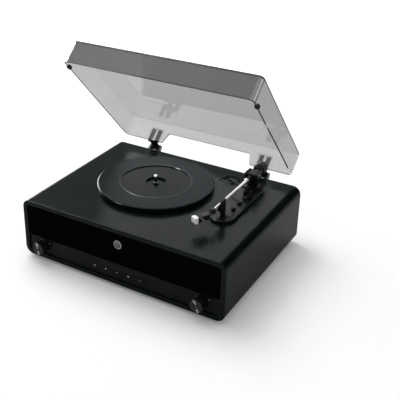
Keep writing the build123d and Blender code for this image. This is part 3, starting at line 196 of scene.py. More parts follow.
def build_grain_group():
    """Mottled colour, uneven gloss and a fine pebbled height, on Object coordinates."""
    tree, given = new_group(
        "surface_grain",
        {"Color": COLOR, "Roughness": NUMBER, "Grain Scale": NUMBER, "Color Spread": NUMBER,
         "Gloss Spread": NUMBER},
        {"Color": COLOR, "Roughness": NUMBER, "Height": NUMBER})
    place = object_place(tree)
    cloud = add_node(tree, "ShaderNodeTexNoise", Vector=place, Scale=14.0, Detail=5.0, Roughness=0.6)
    grain = add_node(tree, "ShaderNodeTexNoise", Vector=place, Scale=given["Grain Scale"], Detail=3.0,
                     Roughness=0.55)
    swing = math_node(tree, "SUBTRACT", cloud.outputs["Fac"], 0.5)
    fine = math_node(tree, "SUBTRACT", grain.outputs["Fac"], 0.5)
    both = math_node(tree, "ADD", product(tree, swing, 2.0), fine)
    shade = product(tree, both, given["Color Spread"])
    scale = math_node(tree, "ADD", shade, 1.0)
    tint = add_node(tree, "ShaderNodeVectorMath", operation="SCALE", Scale=scale)
    feed(tree, tint.inputs[0], given["Color"])
    gloss = product(tree, both, given["Gloss Spread"])
    rough = math_node(tree, "ADD", gloss, given["Roughness"])
    add_node(tree, "NodeGroupOutput", Color=tint.outputs[0], Roughness=rough, Height=grain.outputs["Fac"])
    return tree


def build_edge_wear_and_highlight_group():
    """Paler colour on sharp edges, partly wear and partly a painted edge highlight, broken up by noise,
    from the difference to a bevelled normal.
    """
    tree, given = new_group(
        "edge_wear_and_highlight", {"Color": COLOR, "Worn Color": COLOR, "Amount": NUMBER}, {"Color": COLOR})
    sharpness = 6.0
    bevel = add_node(tree, "ShaderNodeBevel", samples=4, Radius=0.7 * MM)
    surface = tree.nodes.new("ShaderNodeNewGeometry")
    match = vector_node(tree, "DOT_PRODUCT", bevel.outputs[0], surface.outputs["Normal"])
    edge = product(tree, math_node(tree, "SUBTRACT", 1.0, match), sharpness)
    noise = add_node(tree, "ShaderNodeTexNoise", Vector=object_place(tree), Scale=160.0, Detail=4.0)
    broken = product(tree, edge, noise.outputs["Fac"])
    amount = product(tree, broken, given["Amount"])
    mask = math_node(tree, "MINIMUM", amount, 1.0)
    add_node(tree, "NodeGroupOutput", Color=blend(tree, mask, given["Color"], given["Worn Color"]))
    return tree


def build_ring_group():
    """Fine turned rings round an axis along Z of the given vector; gives a height and a shade."""
    tree, given = new_group(
        "turned_rings", {"Vector": VECTOR, "Pitch": NUMBER}, {"Height": NUMBER, "Shade": NUMBER})
    parts = add_node(tree, "ShaderNodeSeparateXYZ", Vector=given["Vector"]).outputs
    square_x = product(tree, parts["X"], parts["X"])
    square_y = product(tree, parts["Y"], parts["Y"])
    radius = math_node(tree, "SQRT", math_node(tree, "ADD", square_x, square_y))
    turns = math_node(tree, "DIVIDE", radius, given["Pitch"])
    wave = math_node(tree, "SINE", product(tree, turns, 2 * math.pi))
    noise = add_node(tree, "ShaderNodeTexNoise", noise_dimensions="1D", Scale=1.0, Detail=3.0,
                     W=product(tree, turns, 0.7))
    add_node(tree, "NodeGroupOutput", Height=wave, Shade=noise.outputs["Fac"])
    return tree


def build_weave_group():
    """Plain weave over X and Z of Object coordinates: thread heights and a painted shade, broken by noise,
    that darkens the low gaps between them.
    """
    tree, given = new_group("plain_weave", {"Thread": NUMBER}, {"Height": NUMBER, "Shade": NUMBER})
    place = object_place(tree)
    parts = add_node(tree, "ShaderNodeSeparateXYZ", Vector=place).outputs
    waves = []
    for axis in ("X", "Z"):
        turns = math_node(tree, "DIVIDE", parts[axis], given["Thread"])
        waves.append(math_node(tree, "SINE", product(tree, turns, math.pi)))
    height = math_node(tree, "ABSOLUTE", product(tree, *waves))
    noise = add_node(tree, "ShaderNodeTexNoise", Vector=place, Scale=420.0, Detail=2.0)
    shade = product(tree, height, noise.outputs["Fac"])
    add_node(tree, "NodeGroupOutput", Height=height, Shade=shade)
    return tree


GRAIN = build_grain_group()
WEAR_AND_HIGHLIGHT = build_edge_wear_and_highlight_group()
RINGS = build_ring_group()
WEAVE = build_weave_group()


# Kinds of finish

# How bright the darker of two turned rings is, as a share of the paler one
RING_SHADE = 0.72


def new_finish(name, color, roughness, metallic=0.0, specular=0.5):
    """Material with plain values on its one shader's own sockets; gives it, the shader and the tree."""
    material = bpy.data.materials.new(name)
    material.use_nodes = True
    tree = material.node_tree
    shader = tree.nodes["Principled BSDF"]
    set_node(tree, shader, Base_Color=(*color, 1), Roughness=roughness, Metallic=metallic,
             Specular_IOR_Level=specular)
    return material, shader, tree


def add_bump(tree, shader, height, distance):
    """Bump of a real depth in metres on a shader."""
    bump = add_node(tree, "ShaderNodeBump", Height=height, Distance=distance, Strength=1.0)
    set_node(tree, shader, Normal=bump.outputs["Normal"])


def moulded(name, color, roughness, specular=0.5, grain=900.0, depth=0.02, spread=0.15,
            gloss_spread=0.08, metallic=0.0, wear_and_highlight=0.0, worn_and_highlight=(0.03, 0.03, 0.03)):
    """Mottled colour, uneven gloss, grain of a depth in millimetres and, where asked, paler edges that are
    partly wear and partly a painted highlight.
    """
    material, shader, tree = new_finish(name, color, roughness, metallic, specular)
    grained = add_node(
        tree, "ShaderNodeGroup", node_tree=GRAIN, Color=(*color, 1), Roughness=roughness,
        Grain_Scale=grain, Color_Spread=spread, Gloss_Spread=gloss_spread).outputs
    base = grained["Color"]
    # Paler sharp edges: partly wear, partly a painted edge highlight.
    if wear_and_highlight:
        base = add_node(tree, "ShaderNodeGroup", node_tree=WEAR_AND_HIGHLIGHT, Color=base, Worn_Color=(*worn_and_highlight, 1),
                        Amount=wear_and_highlight).outputs["Color"]
    set_node(tree, shader, Base_Color=base, Roughness=grained["Roughness"])
    add_bump(tree, shader, grained["Height"], depth * MM)
    return material


def turned(name, color, roughness, centre, axis, pitch, depth, metallic=1.0, specular=0.5):
    """Turned about an axis through centre: rings in colour and of a depth in millimetres."""
    material, shader, tree = new_finish(name, color, roughness, metallic, specular)
    local = add_node(tree, "ShaderNodeMapping", vector_type="TEXTURE", Vector=object_place(tree),
                     Location=centre, Rotation=TURNS[axis])
    rings = add_node(tree, "ShaderNodeGroup", node_tree=RINGS, Vector=local.outputs[0],
                     Pitch=pitch).outputs
    dark = (*[c * RING_SHADE for c in color], 1)
    set_node(tree, shader, Base_Color=blend(tree, rings["Shade"], dark, (*color, 1)))
    add_bump(tree, shader, rings["Height"], depth * MM)
    return material


def woven(name, gap, thread, width, depth):
    """Dull cloth of a thread width, from a painted shade in its low gaps to the colour of its threads."""
    material, shader, tree = new_finish(name, thread, 0.9, specular=0.0)
    weave = add_node(tree, "ShaderNodeGroup", node_tree=WEAVE, Thread=width).outputs
    set_node(tree, shader, Base_Color=blend(tree, weave["Shade"], (*gap, 1), (*thread, 1)))
    add_bump(tree, shader, weave["Height"], depth * MM)
    return material


def clear_plastic(name, tint, roughness, smoke, ior=1.49):
    """Smoked clear plastic: lets light through, darkens with depth and is clear to shadow rays."""
    material, shader, tree = new_finish(name, tint, roughness)
    set_node(tree, shader, Transmission_Weight=1.0, IOR=ior)
    through = add_node(tree, "ShaderNodeBsdfTransparent", Color=(*[math.sqrt(c) for c in tint], 1))
    rays = tree.nodes.new("ShaderNodeLightPath")
    mix = tree.nodes.new("ShaderNodeMixShader")
    sources = (rays.outputs["Is Shadow Ray"], shader.outputs[0], through.outputs[0])
    for slot, socket in zip(mix.inputs, sources):
        feed(tree, slot, socket)
    depth = add_node(tree, "ShaderNodeVolumeAbsorption", Color=(0.03, 0.0, 0.0, 1), Density=smoke)
    set_node(tree, tree.nodes["Material Output"], Surface=mix.outputs[0], Volume=depth.outputs[0])
    return material


def tint_beyond(material, tint, *planes):
    """Changes the base colour where a place lies beyond every plane, each a direction and a reach."""
    tree = material.node_tree
    place = object_place(tree)
    inside = 1.0
    for way, reach in planes:
        beyond = math_node(tree, "GREATER_THAN", vector_node(tree, "DOT_PRODUCT", place, way), reach)
        inside = product(tree, inside, beyond)
    color = tree.nodes["Principled BSDF"].inputs["Base Color"]
    before = color.links[0].from_socket if color.links else tuple(color.default_value)
    feed(tree, color, blend(tree, inside, before, (*tint, 1)))


def finish(material, *names):
    """Gives CAD nodes or pieces one material."""
    for name in names:
        materials = bpy.data.objects[name].data.materials
        materials.clear()
        materials.append(material)


# Modelling helpers

# Least cosine between a face's normal and a direction for the face to look that way
FACING = 0.9
# Edges sharper than the first angle are rounded, and flatter than the second are shaded smooth
SHARP = 0.6
SMOOTH = math.radians(35)
# Shares of a screw head's depth: its rounded edge, and how high the slot's middle lies
HEAD_EDGE = 0.25
SLOT_HEIGHT = 0.6


def deselect():
    """Object mode with nothing selected."""
    if bpy.context.object and bpy.context.object.mode != "OBJECT":
        bpy.ops.object.mode_set(mode="OBJECT")
    bpy.ops.object.select_all(action="DESELECT")


def activate(obj):
    """Selects one object alone."""
    deselect()
    obj.select_set(True)
    bpy.context.view_layer.objects.active = obj


def added(name):
    """Names the primitive that was just added."""
    obj = bpy.context.object
    obj.name = name
    obj.data.name = name
    return obj


def settle(obj):
    """Puts the object's place, turn and size into its mesh."""
    activate(obj)
    bpy.ops.object.transform_apply(location=True, rotation=True, scale=True)
    return obj


def add_disc(name, radius, depth, centre, axis="Z", sides=64, spin=0.0):
    """Cylinder whose axis lies along X, Y or Z; Y faces the front and X the right."""
    deselect()
    turn = Vector(TURNS[axis]) + spin * WAYS["Y"]
    bpy.ops.mesh.primitive_cylinder_add(
        vertices=sides, radius=radius, depth=depth, location=centre, rotation=turn, end_fill_type="NGON")
    return settle(added(name))


def add_block(name, size, centre, turn=(0, 0, 0)):
    """Block of a size at a place."""
    deselect()
    bpy.ops.mesh.primitive_cube_add(size=1, location=centre, rotation=turn)
    obj = added(name)
    obj.scale = size
    return settle(obj)


def pick(obj, test):
    """Edit mode with the faces selected that pass a test."""
    activate(obj)
    bpy.ops.object.mode_set(mode="EDIT")
    bpy.ops.mesh.select_all(action="DESELECT")
    bpy.ops.mesh.select_mode(type="FACE")
    mesh = bmesh.from_edit_mesh(obj.data)
    mesh.normal_update()
    for face in mesh.faces:
        face.select_set(test(face))
    bmesh.update_edit_mesh(obj.data)


def done():
    """Back to object mode."""
    bpy.ops.object.mode_set(mode="OBJECT")


def bore(obj, axis, wall):
    """Joins an object's two ends along an axis by a hole that leaves a wall of a thickness."""
    pick(obj, lambda face: abs(face.normal.dot(WAYS[axis])) > FACING)
    bpy.ops.mesh.inset(thickness=wall, depth=0)
    bpy.ops.mesh.bridge_edge_loops()
    bpy.ops.mesh.select_all(action="SELECT")
    bpy.ops.mesh.normals_make_consistent(inside=False)
    done()


def round_edges(obj, width, segments=2):
    """Applied bevel on the sharp edges, then smooth shading by angle."""
    activate(obj)
    bevel = obj.modifiers.new("edge", "BEVEL")
    bevel.width = width
    bevel.segments = segments
    bevel.limit_method = "ANGLE"
    bevel.angle_limit = SHARP
    bpy.ops.object.modifier_apply(modifier=bevel.name)
    bpy.ops.object.shade_smooth_by_angle(angle=SMOOTH)
    return obj


def add_ring(name, outer, inner, depth, centre, edge, axis="Y", sides=64):
    """Flat ring with rounded edges: a cylinder with a bore."""
    obj = add_disc(name, outer, depth, centre, axis, sides)
    bore(obj, axis, outer - inner)
    return round_edges(obj, edge)


def add_slotted_head(name, radius, depth, centre, slot_width, axis="Z", side=1):
    """Screw head that looks to one side along an axis, with a slot cut across it by a block."""
    head = round_edges(add_disc(name, radius, depth, centre, axis, 40), depth * HEAD_EDGE)
    size = dict.fromkeys("XYZ", slot_width)
    size[axis] = depth
    size["Y" if axis == "Z" else "Z"] = 3 * radius
    slot_place = Vector(centre) + WAYS[axis] * side * depth * SLOT_HEIGHT
    blade = add_block("slot_cutter", tuple(size.values()), slot_place)
    activate(head)
    cut = head.modifiers.new("slot", "BOOLEAN")
    cut.object = blade
    cut.solver = "EXACT"
    bpy.ops.object.modifier_apply(modifier=cut.name)
    bpy.data.objects.remove(blade)
    return head


def add_letters(name, words, height, centre, depth):
    """Raised print that reads from the front on a level surface."""
    deselect()
    bpy.ops.object.text_add(location=centre)
    obj = added(name)
    obj.data.body = words
    obj.data.size = height
    obj.data.extrude = depth
    obj.data.align_x = "CENTER"
    obj.data.resolution_u = 3
    bpy.ops.object.convert(target="MESH")
    return settle(bpy.context.object)


def ready(obj, body, material, slot):
    """Material and body of a finished piece; the slot is not used."""
    finish(bpy.data.materials[material], obj.name)
    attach(obj, body)


# Studio

# Where each part of the surroundings begins and is full: the cosine of the angle from its middle
CEILING_FADE = (0.62, 0.85)
DARK_FADE = (0.8, 0.965)
GLINT_FADE = (0.93, 0.97)
FRONT_FADE = (0.985, 0.995)
# Distances in metres: the floor's width, its drop below the feet and where it begins to whiten
FLOOR_SIZE = 14
FLOOR_DROP = 0.4 * MM
FLOOR_FADE = (0.35, 1.2)
LAMP_SIZE = 1.6
KEY_PLACE = (-1.5, 0.5, 2.1)
TOP_PLACE = (-0.4, 0.3, 2.6)
LAMP_TARGET = (0, 0, 0.1)


class StudioSettings(bpy.types.PropertyGroup):
    """Light, floor and camera."""

    azimuth: angle_setting("Camera azimuth", "Turn of the camera to the right of the front", 31.85)
    elevation: angle_setting("Camera elevation", "Height of the camera above the horizon", 25.43)
    camera_place: place_setting("Camera place", "Where the camera stands", (0.6354, -1.0638, 0.7765))
    lens: number_setting("Lens", "Focal length on a 36 mm sensor", 67.48, unit="CAMERA")
    shift: bpy.props.FloatVectorProperty(
        name="Lens shift", description="Sideways and upward shift of the frame", size=2,
        default=(0.1194, -0.0990))
    floor_color: color_setting("Floor", "Colour of the floor", (0.93, 0.93, 0.93))
    mirror_level: level_setting(
        "Mirror level", "Brightness of the walls round the table in reflections", 0.31)
    ceiling_level: level_setting("Ceiling level", "Brightness of the ceiling in reflections", 1.0)
    floor_level: number_setting(
        "Floor level", "Share of the floor's colour that reflections see", 0.5, min=0, max=1)
    fill: level_setting("Fill light", "Strength of the even light from all round", 0.55)
    key_power: power_setting("Key lamp", "Power of the large lamp at the left", 34.0)
    top_power: power_setting("Top lamp", "Power of the lamp above, to the left", 12.0)
    glint_place: direction_setting(
        "Glint side", "Where a low bright panel stands, seen in reflections alone", (-0.91, 0.36, 0.07))
    glint_level: level_setting("Glint level", "Brightness of the low panel in reflections", 22.0)
    front_place: direction_setting(
        "Front panel side", "Where the panel that the knobs mirror stands", (-0.66, -0.75, 0.09))
    front_level: level_setting("Front panel level", "Brightness of that panel in reflections", 70.0)
    floor_glow: level_setting("Floor white", "Light that the floor adds for the camera alone", 0.08)
    far_glow: level_setting("Far white", "The same light far from the player", 0.35)
    dark_patch: direction_setting(
        "Dark side", "Where black surfaces mirror a dark part of the studio", (0.45, 0.76, 0.47))
    dark_level: level_setting("Dark level", "Brightness of the dark part in reflections", 0.02)


def make_floor(settings):
    """Paper floor, dimmer in reflections and a little brighter for the camera alone."""
    deselect()
    bpy.ops.mesh.primitive_plane_add(size=FLOOR_SIZE, location=(0, 0, -FLOOR_DROP))
    floor = added("floor")
    color = settings.floor_color
    paper = moulded("floor_paper", color, 0.9, specular=0.1, grain=300.0, depth=0.01, spread=0.004,
                    gloss_spread=0.01)
    tree = paper.node_tree
    shader = tree.nodes["Principled BSDF"]
    plain = shader.inputs["Base Color"].links[0].from_socket
    sight = tree.nodes.new("ShaderNodeLightPath").outputs
    dim = (*[c * settings.floor_level for c in color], 1)
    set_node(tree, shader, Base_Color=blend(tree, sight["Is Glossy Ray"], plain, dim))
    away = vector_node(tree, "LENGTH", object_place(tree))
    rise = fade(tree, away, FLOOR_FADE, settings.floor_glow, settings.far_glow)
    glow = add_node(tree, "ShaderNodeEmission", Strength=product(tree, sight["Is Camera Ray"], rise))
    both = tree.nodes.new("ShaderNodeAddShader")
    for slot, part in zip(both.inputs, (shader, glow)):
        feed(tree, slot, part.outputs[0])
    set_node(tree, tree.nodes["Material Output"], Surface=both.outputs[0])
    finish(paper, "floor")


def world_patch(tree, way, limits, outside, inside):
    """Level of the surroundings that changes smoothly inside a cone around a direction."""
    direction = tree.nodes.new("ShaderNodeTexCoord").outputs["Generated"]
    toward = vector_node(tree, "DOT_PRODUCT", direction, Vector(way).normalized())
    return fade(tree, toward, limits, outside, inside)


def make_world(scene, settings):
    """White for the camera; walls, a ceiling, a dark part and two panels in reflections; even light."""
    world = bpy.data.worlds.new("white_surroundings")
    world.use_nodes = True
    scene.world = world
    tree = world.node_tree
    rays = tree.nodes.new("ShaderNodeLightPath").outputs
    seen = math_node(tree, "MAXIMUM", rays["Is Camera Ray"], rays["Is Transmission Ray"])
    ceiling = world_patch(tree, WAYS["Z"], CEILING_FADE, settings.mirror_level, settings.ceiling_level)
    dark = world_patch(tree, settings.dark_patch, DARK_FADE, 1, settings.dark_level)
    glint = world_patch(tree, settings.glint_place, GLINT_FADE, 0, settings.glint_level)
    front = world_patch(tree, settings.front_place, FRONT_FADE, 0, settings.front_level)
    panels = math_node(tree, "ADD", glint, front)
    mirrored = math_node(tree, "ADD", product(tree, ceiling, dark), panels)
    glossy = product(tree, rays["Is Glossy Ray"], mirrored)
    other = math_node(tree, "SUBTRACT", 1.0, math_node(tree, "MAXIMUM", seen, rays["Is Glossy Ray"]))
    even = product(tree, other, settings.fill)
    strength = math_node(tree, "ADD", math_node(tree, "ADD", seen, glossy), even)
    set_node(tree, tree.nodes["Background"], Color=(1, 1, 1, 1), Strength=strength)


def add_lamp(name, power, place):
    """Square area lamp that looks at the player."""
    data = bpy.data.lights.new(name, "AREA")
    data.energy = power
    data.size = LAMP_SIZE
    lamp = bpy.data.objects.new(name, data)
    lamp.location = place
    lamp.rotation_euler = (Vector(LAMP_TARGET) - Vector(place)).to_track_quat("-Z", "Y").to_euler()
    bpy.context.scene.collection.objects.link(lamp)


def make_camera(scene, settings):
    """The camera at the photograph's place."""
    data = bpy.data.cameras.new("camera")
    data.lens = settings.lens
    data.sensor_width = 36
    data.shift_x, data.shift_y = settings.shift
    data.clip_start, data.clip_end = 0.05, 50
    camera = bpy.data.objects.new("camera", data)
    camera.location = settings.camera_place
    camera.rotation_euler = Euler((math.pi / 2 - settings.elevation, 0, settings.azimuth))
    scene.collection.objects.link(camera)
    scene.camera = camera


class PLAYER_OT_studio(bpy.types.Operator):
    """Pale floor, white surroundings, soft lamps and the camera"""

    bl_idname = "player.studio"
    bl_label = "Studio"

    def execute(self, context):
        scene = context.scene
        settings = scene.player_studio
        scene.view_settings.view_transform = "Standard"
        make_floor(settings)
        make_world(scene, settings)
        add_lamp("key_lamp", settings.key_power, KEY_PLACE)
        add_lamp("top_lamp", settings.top_power, TOP_PLACE)
        make_camera(scene, settings)
        return {"FINISHED"}


# Finishes of the CAD nodes


class FinishSettings(bpy.types.PropertyGroup):
    """Colours of the main finishes, the cover's tints of painted shade and painted light, and where these
    tints begin.
    """

    cabinet: color_setting("Cabinet", "Colour of the cabinet's black wrap", (0.001, 0.0042, 0.0036))
    cover: color_setting("Cover", "Tint of the clear cover's surfaces", (0.95, 0.94, 0.95))
    # Painted shade and painted light on the cover: a darker front wall, lighter side walls and dark lines
    # along the rim and folds, in place of how light passes through the walls.
    cover_front_shade: color_setting(
        "Cover front", "Tint of the front wall's surfaces, the darkest", (0.285, 0.278, 0.285))
    cover_side_light: color_setting("Cover sides", "Tint of the side walls' surfaces", (1.0, 0.995, 1.0))
    cover_edge_shade: color_setting(
        "Cover edges", "Tint of the rim and of the folds, seen edge on", (0.2, 0.2, 0.2))
    cover_shade_line: length_setting("Edge line", "Width of the dark line along the rim and the folds", 0.0007)
    cover_rise: length_setting(
        "Cover rise", "From the hinge axis up to the top of the closed cover", 0.0494)
    cover_rim: length_setting("Cover rim", "From the hinge axis up to the rim of the closed cover", 0.0038)
    cover_wall: length_setting("Cover wall", "Thickness of the cover's walls", 0.003)
    cover_hinge: place_setting(
        "Cover hinge", "A place on the axis of the cover's hinges", (0, 0.1724, 0.118))
    cover_angle: angle_setting("Cover angle", "How far the cover stands open", 47.2)
    cover_reach: length_setting(
        "Cover reach", "From the hinge axis to the inside of the front wall", 0.3192)
    smoke: level_setting("Smoke", "Absorption inside the cover's walls, per metre", 14.0)
    needle_height: length_setting(
        "Needle height", "Height of the dark needle holder below the pale block", 0.0059)
    metal: color_setting("Bright metal", "Colour of the tube and spindle", (0.78, 0.79, 0.8))


def finish_cabinet(settings):
    """Wrapped box, cloth, strip and rear wall."""
    finish(moulded("black_wrap", settings.cabinet, 0.22, specular=0.15, grain=1400.0, depth=0.003,
                   spread=0.2, gloss_spread=0.04, wear_and_highlight=0.2, worn_and_highlight=(0.03, 0.03, 0.032)), "cabinet_sleeve")
    finish(moulded("fibreboard", (0.22, 0.15, 0.09), 0.8, spread=0.4, grain=700.0), "front_baffle")
    finish(moulded("rear_board", (0.014, 0.014, 0.015), 0.6, specular=0.3, grain=500.0, depth=0.05),
           "rear_panel")
    # The cloth's darker gap colour is painted shade in the low parts between the threads.
    finish(woven("grille_cloth", (0.0008, 0.0008, 0.0009), (0.005, 0.005, 0.0052), 0.8 * MM, 0.2),
           "speaker_grille")
    finish(moulded("strip_satin", (0.0045, 0.0045, 0.0047), 0.3, specular=0.12, grain=1500.0, depth=0.004),
           "control_strip")
    badge = middle("grille_badge")
    finish(turned("badge_metal", (0.14, 0.14, 0.14), 0.4, badge, "Y", 0.6 * MM, 0.004), "grille_badge")


def finish_arm(settings):
    """Arm, its plate and what stands on it."""
    finish(moulded("plate_gloss", (0.004, 0.006, 0.0056), 0.22, specular=0.22, grain=1700.0, depth=0.003,
                   wear_and_highlight=0.1), "arm_base_plate")
    finish(moulded("adapter_plastic", (0.002, 0.0045, 0.0045), 0.32, specular=0.12), "adapter_45")
    finish(moulded("arm_paint", (0.003, 0.0034, 0.0033), 0.26, specular=0.12, grain=1600.0, depth=0.004,
                   wear_and_highlight=0.25, worn_and_highlight=(0.06, 0.06, 0.06)), "arm_yoke", "gimbal_block", "counterweight")
    finish(moulded("shell_satin", (0.006, 0.0075, 0.007), 0.28, specular=0.26, wear_and_highlight=0.3,
                   worn_and_highlight=(0.1, 0.1, 0.1)), "headshell")
    block = moulded("stylus_shell", (0.78, 0.79, 0.77), 0.22, spread=0.05)
    needle_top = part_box("stylus_assembly")[0].z + settings.needle_height
    tint_beyond(block, (0.01, 0.01, 0.01), (-WAYS["Z"], -needle_top))
    finish(block, "stylus_assembly")
    finish(moulded("cartridge_body", (0.01, 0.01, 0.011), 0.4), "cartridge")
    finish(moulded("lift_satin", (0.06, 0.06, 0.06), 0.35, metallic=1.0), "finger_lift")
    finish(moulded("bright_metal", settings.metal, 0.2, metallic=1.0, spread=0.05, gloss_spread=0.05,
                   grain=1200.0, depth=0.002), "tonearm_tube")


def finish_platter(settings):
    """Platter, mat and spindle, turned about the hub."""
    hub = middle("platter")
    finish(turned("platter_satin", (0.0016, 0.0042, 0.0048), 0.2, hub, "Z", 0.6 * MM, 0.002, metallic=0.0,
                  specular=0.09), "platter")
    finish(turned("mat_rubber", (0.0016, 0.0062, 0.0068), 0.32, hub, "Z", 1.1 * MM, 0.004, metallic=0.0,
                  specular=0.085), "platter_mat")
    finish(turned("spindle_steel", settings.metal, 0.18, hub, "Z", 0.4 * MM, 0.002), "spindle")


def finish_controls():
    """Plain black plastic, and the knobs' metal caps with a highlight across the rings."""
    plastic = moulded("black_plastic", (0.003, 0.0034, 0.0033), 0.34, specular=0.1, grain=1300.0,
                      depth=0.01, wear_and_highlight=0.1)
    finish(plastic, "arm_rest", "cue_housing", "cue_lever", "lift_bar", "pivot_column", "jack_plate",
           "dc_inlet", "headphone_jack", "button_switches", "speed_selector", "auto_stop_switch",
           "button_1", "button_2", "button_3", "button_4", "button_5", "volume_knob", "tone_knob")
    for side in KNOBS:
        centre = middle(side + "_knob_cap")
        cap = turned(side + "_cap_metal", (0.08, 0.08, 0.08), 0.45, centre, "Y", 0.45 * MM, 0.001)
        tree = cap.node_tree
        tangent = add_node(tree, "ShaderNodeTangent", direction_type="RADIAL", axis="Y")
        set_node(tree, tree.nodes["Principled BSDF"], Anisotropic=0.95, Anisotropic_Rotation=0.25,
                 Tangent=tangent.outputs[0])
        finish(cap, side + "_knob_cap")


def finish_hidden_parts():
    """Metal, rubber, board and speakers, mostly out of sight."""
    finish(moulded("plain_steel", (0.5, 0.5, 0.52), 0.35, metallic=1.0, spread=0.1), "pivot_pins",
           "counterweight_stub", "hinge_hardware", "volume_pot_shaft", "tone_pot_shaft", "pot_bodies",
           "motor")
    finish(moulded("black_screws", (0.02, 0.02, 0.021), 0.35, metallic=1.0), "cabinet_screws")
    finish(moulded("rubber", (0.012, 0.012, 0.0122), 0.75, specular=0.25, grain=800.0, depth=0.03),
           "rubber_feet", "lid_bumpers", "drive_belt")
    finish(moulded("speaker_metal", (0.03, 0.03, 0.032), 0.4), "speaker_baskets")
    finish(moulded("speaker_paper", (0.03, 0.03, 0.03), 0.85, grain=400.0, depth=0.1), "speaker_cones")
    finish(moulded("board_mask", (0.02, 0.12, 0.05), 0.35, spread=0.3), "main_board")
    finish(moulded("brass_turned", (0.75, 0.55, 0.25), 0.25, metallic=1.0), "motor_pulley", "bearing_bush")
    finish(moulded("nickel", (0.7, 0.67, 0.6), 0.22, metallic=1.0), "line_out_jacks")


def finish_cover(settings):
    """Smoked cover with a painted darker front, painted lighter sides and painted dark lines at its edges;
    its hinges.
    """
    finish(moulded("hinge_black", (0.002, 0.002, 0.002), 0.5, specular=0.02), "hinge_arms")
    finish(moulded("hinge_gloss", (0.004, 0.0044, 0.0043), 0.1, specular=0.6), "hinge_bases")
    lid = clear_plastic("smoked_clear_painted_shade", settings.cover, 0.01, settings.smoke)
    low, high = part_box("dust_cover")
    forward = Vector((0, -math.cos(settings.cover_angle), math.sin(settings.cover_angle)))
    upward = Vector((0, math.sin(settings.cover_angle), math.cos(settings.cover_angle)))
    hinge = Vector(settings.cover_hinge)
    line = settings.cover_shade_line
    sides = ((WAYS["X"], high.x), (-WAYS["X"], -low.x))
    front = (forward, forward.dot(hinge) + settings.cover_reach)
    nose = (forward, front[1] + settings.cover_wall - line)
    crown = (upward, upward.dot(hinge) + settings.cover_rise - line)
    rim = (-upward, -upward.dot(hinge) - settings.cover_rim - line)
    # Painted light on the side walls, painted shade on the front wall, and painted dark lines along the rim
    # and folds.
    for outward, reach in sides:
        tint_beyond(lid, settings.cover_side_light, (outward, reach - settings.cover_wall))
    tint_beyond(lid, settings.cover_front_shade, front)
    for outward, reach in sides:
        tint_beyond(lid, settings.cover_edge_shade, (outward, reach - line), crown)
    tint_beyond(lid, settings.cover_edge_shade, nose, crown)
    tint_beyond(lid, settings.cover_edge_shade, rim)
    finish(lid, "dust_cover")
    finish(clear_plastic("socket_clear", (0.9, 0.9, 0.9), 0.0, settings.smoke, ior=1.03), "hinge_sockets")


class PLAYER_OT_finishes(bpy.types.Operator):
    """Finishes of the pieces that keep their shape"""

    bl_idname = "player.finishes"
    bl_label = "Finishes"

    def execute(self, context):
        settings = context.scene.player_finishes
        finish_cabinet(settings)
        finish_arm(settings)
        finish_platter(settings)
        finish_controls()
        finish_hidden_parts()
        finish_cover(settings)
        return {"FINISHED"}


# Small fittings


class KnobSettings(bpy.types.PropertyGroup):
    """Grip rings of the two front knobs."""

    ribs: bpy.props.IntProperty(
        name="Ribs", description="Number of grip ribs round each knob", default=60, min=12)
    rib_depth: length_setting("Rib depth", "Depth of the grooves between the ribs", 0.00025)
    grip_rise: length_setting("Grip rise", "How far the grip ring stands out from the knob", 0.00035)
    margin: length_setting("Margin", "Plain part of the knob before and behind the ring", 0.0022)


def add_grip(side, settings):
    """Ring round a knob whose every other face is sunk to a groove."""
    low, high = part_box(side + "_knob")
    centre = (low + high) / 2
    outer = (high.x - low.x) / 2 + settings.grip_rise
    length = high.y - low.y - 2 * settings.margin
    grip = add_disc(side + "_grip", outer, length, centre, "Y", 2 * settings.ribs)
    step = math.pi / settings.ribs

    def is_groove(face):
        place = face.calc_center_median() - centre
        number = round(math.atan2(place.z, place.x) / step - 0.5)
        return abs(face.normal.y) < 0.5 and number % 2 == 0

    pick(grip, is_groove)
    bpy.ops.mesh.inset(thickness=settings.rib_depth / 2, depth=-settings.rib_depth, use_individual=True)
    done()
    bore(grip, "Y", 2 * settings.grip_rise)
    activate(grip)
    bpy.ops.object.shade_smooth_by_angle(angle=math.radians(25))
    ready(grip, side + "_control", "knob_grip", "knob_black")


class PLAYER_OT_knob_grips(bpy.types.Operator):
    """Ribbed grip rings round the volume and tone knobs"""

    bl_idname = "player.knob_grips"
    bl_label = "Knob grips"

    def execute(self, context):
        moulded("knob_grip", (0.006, 0.006, 0.0065), 0.28, grain=1500.0, depth=0.006)
        for side in KNOBS:
            add_grip(side, context.scene.player_knobs)
        return {"FINISHED"}


# How far a mark stands left of its button's middle, and the dot below its ring
MARK_LEFT = 3.5 * MM
DOT_DROP = 2.2 * MM
# Shares of the marks' radius
RING_HOLE, DOT_SIZE, SQUARE_SIZE, ARROW_SIZE, ARROW_STEP = 0.5, 0.4, 1.7, 1.1, 1.5
WINDOW_WIDTH, WINDOW_HEIGHT = 4.6, 0.9
# Shares of the print's thickness that its edges are rounded by
BAR_EDGE, RING_EDGE, ARROW_EDGE = 0.6, 0.4, 0.5


class FrontSettings(bpy.types.PropertyGroup):
    """Marks and trims on the front and on the platter."""

    mark_height: length_setting("Button mark height", "Height of the marks above the table", 0.0292)
    mark_radius: length_setting("Button mark size", "Radius of each button's mark", 0.0012)
    mat_hole: length_setting("Mat hole", "Radius of the hole in the platter's mat", 0.0684)
    print_rise: length_setting("Print rise", "Thickness of the printed marks", 0.00012)
    print_color: color_setting("Print", "Colour of the printed marks", (0.62, 0.62, 0.6))
    window_color: color_setting(
        "Lamp window", "Colour of the small lamp window in the last button", (0.1, 0.16, 0.11))


def add_bar(name, width, height, centre, rise):
    """Small printed or moulded bar with rounded edges on the front."""
    return round_edges(add_block(name, (width, 2 * rise, height), centre), rise * BAR_EDGE)


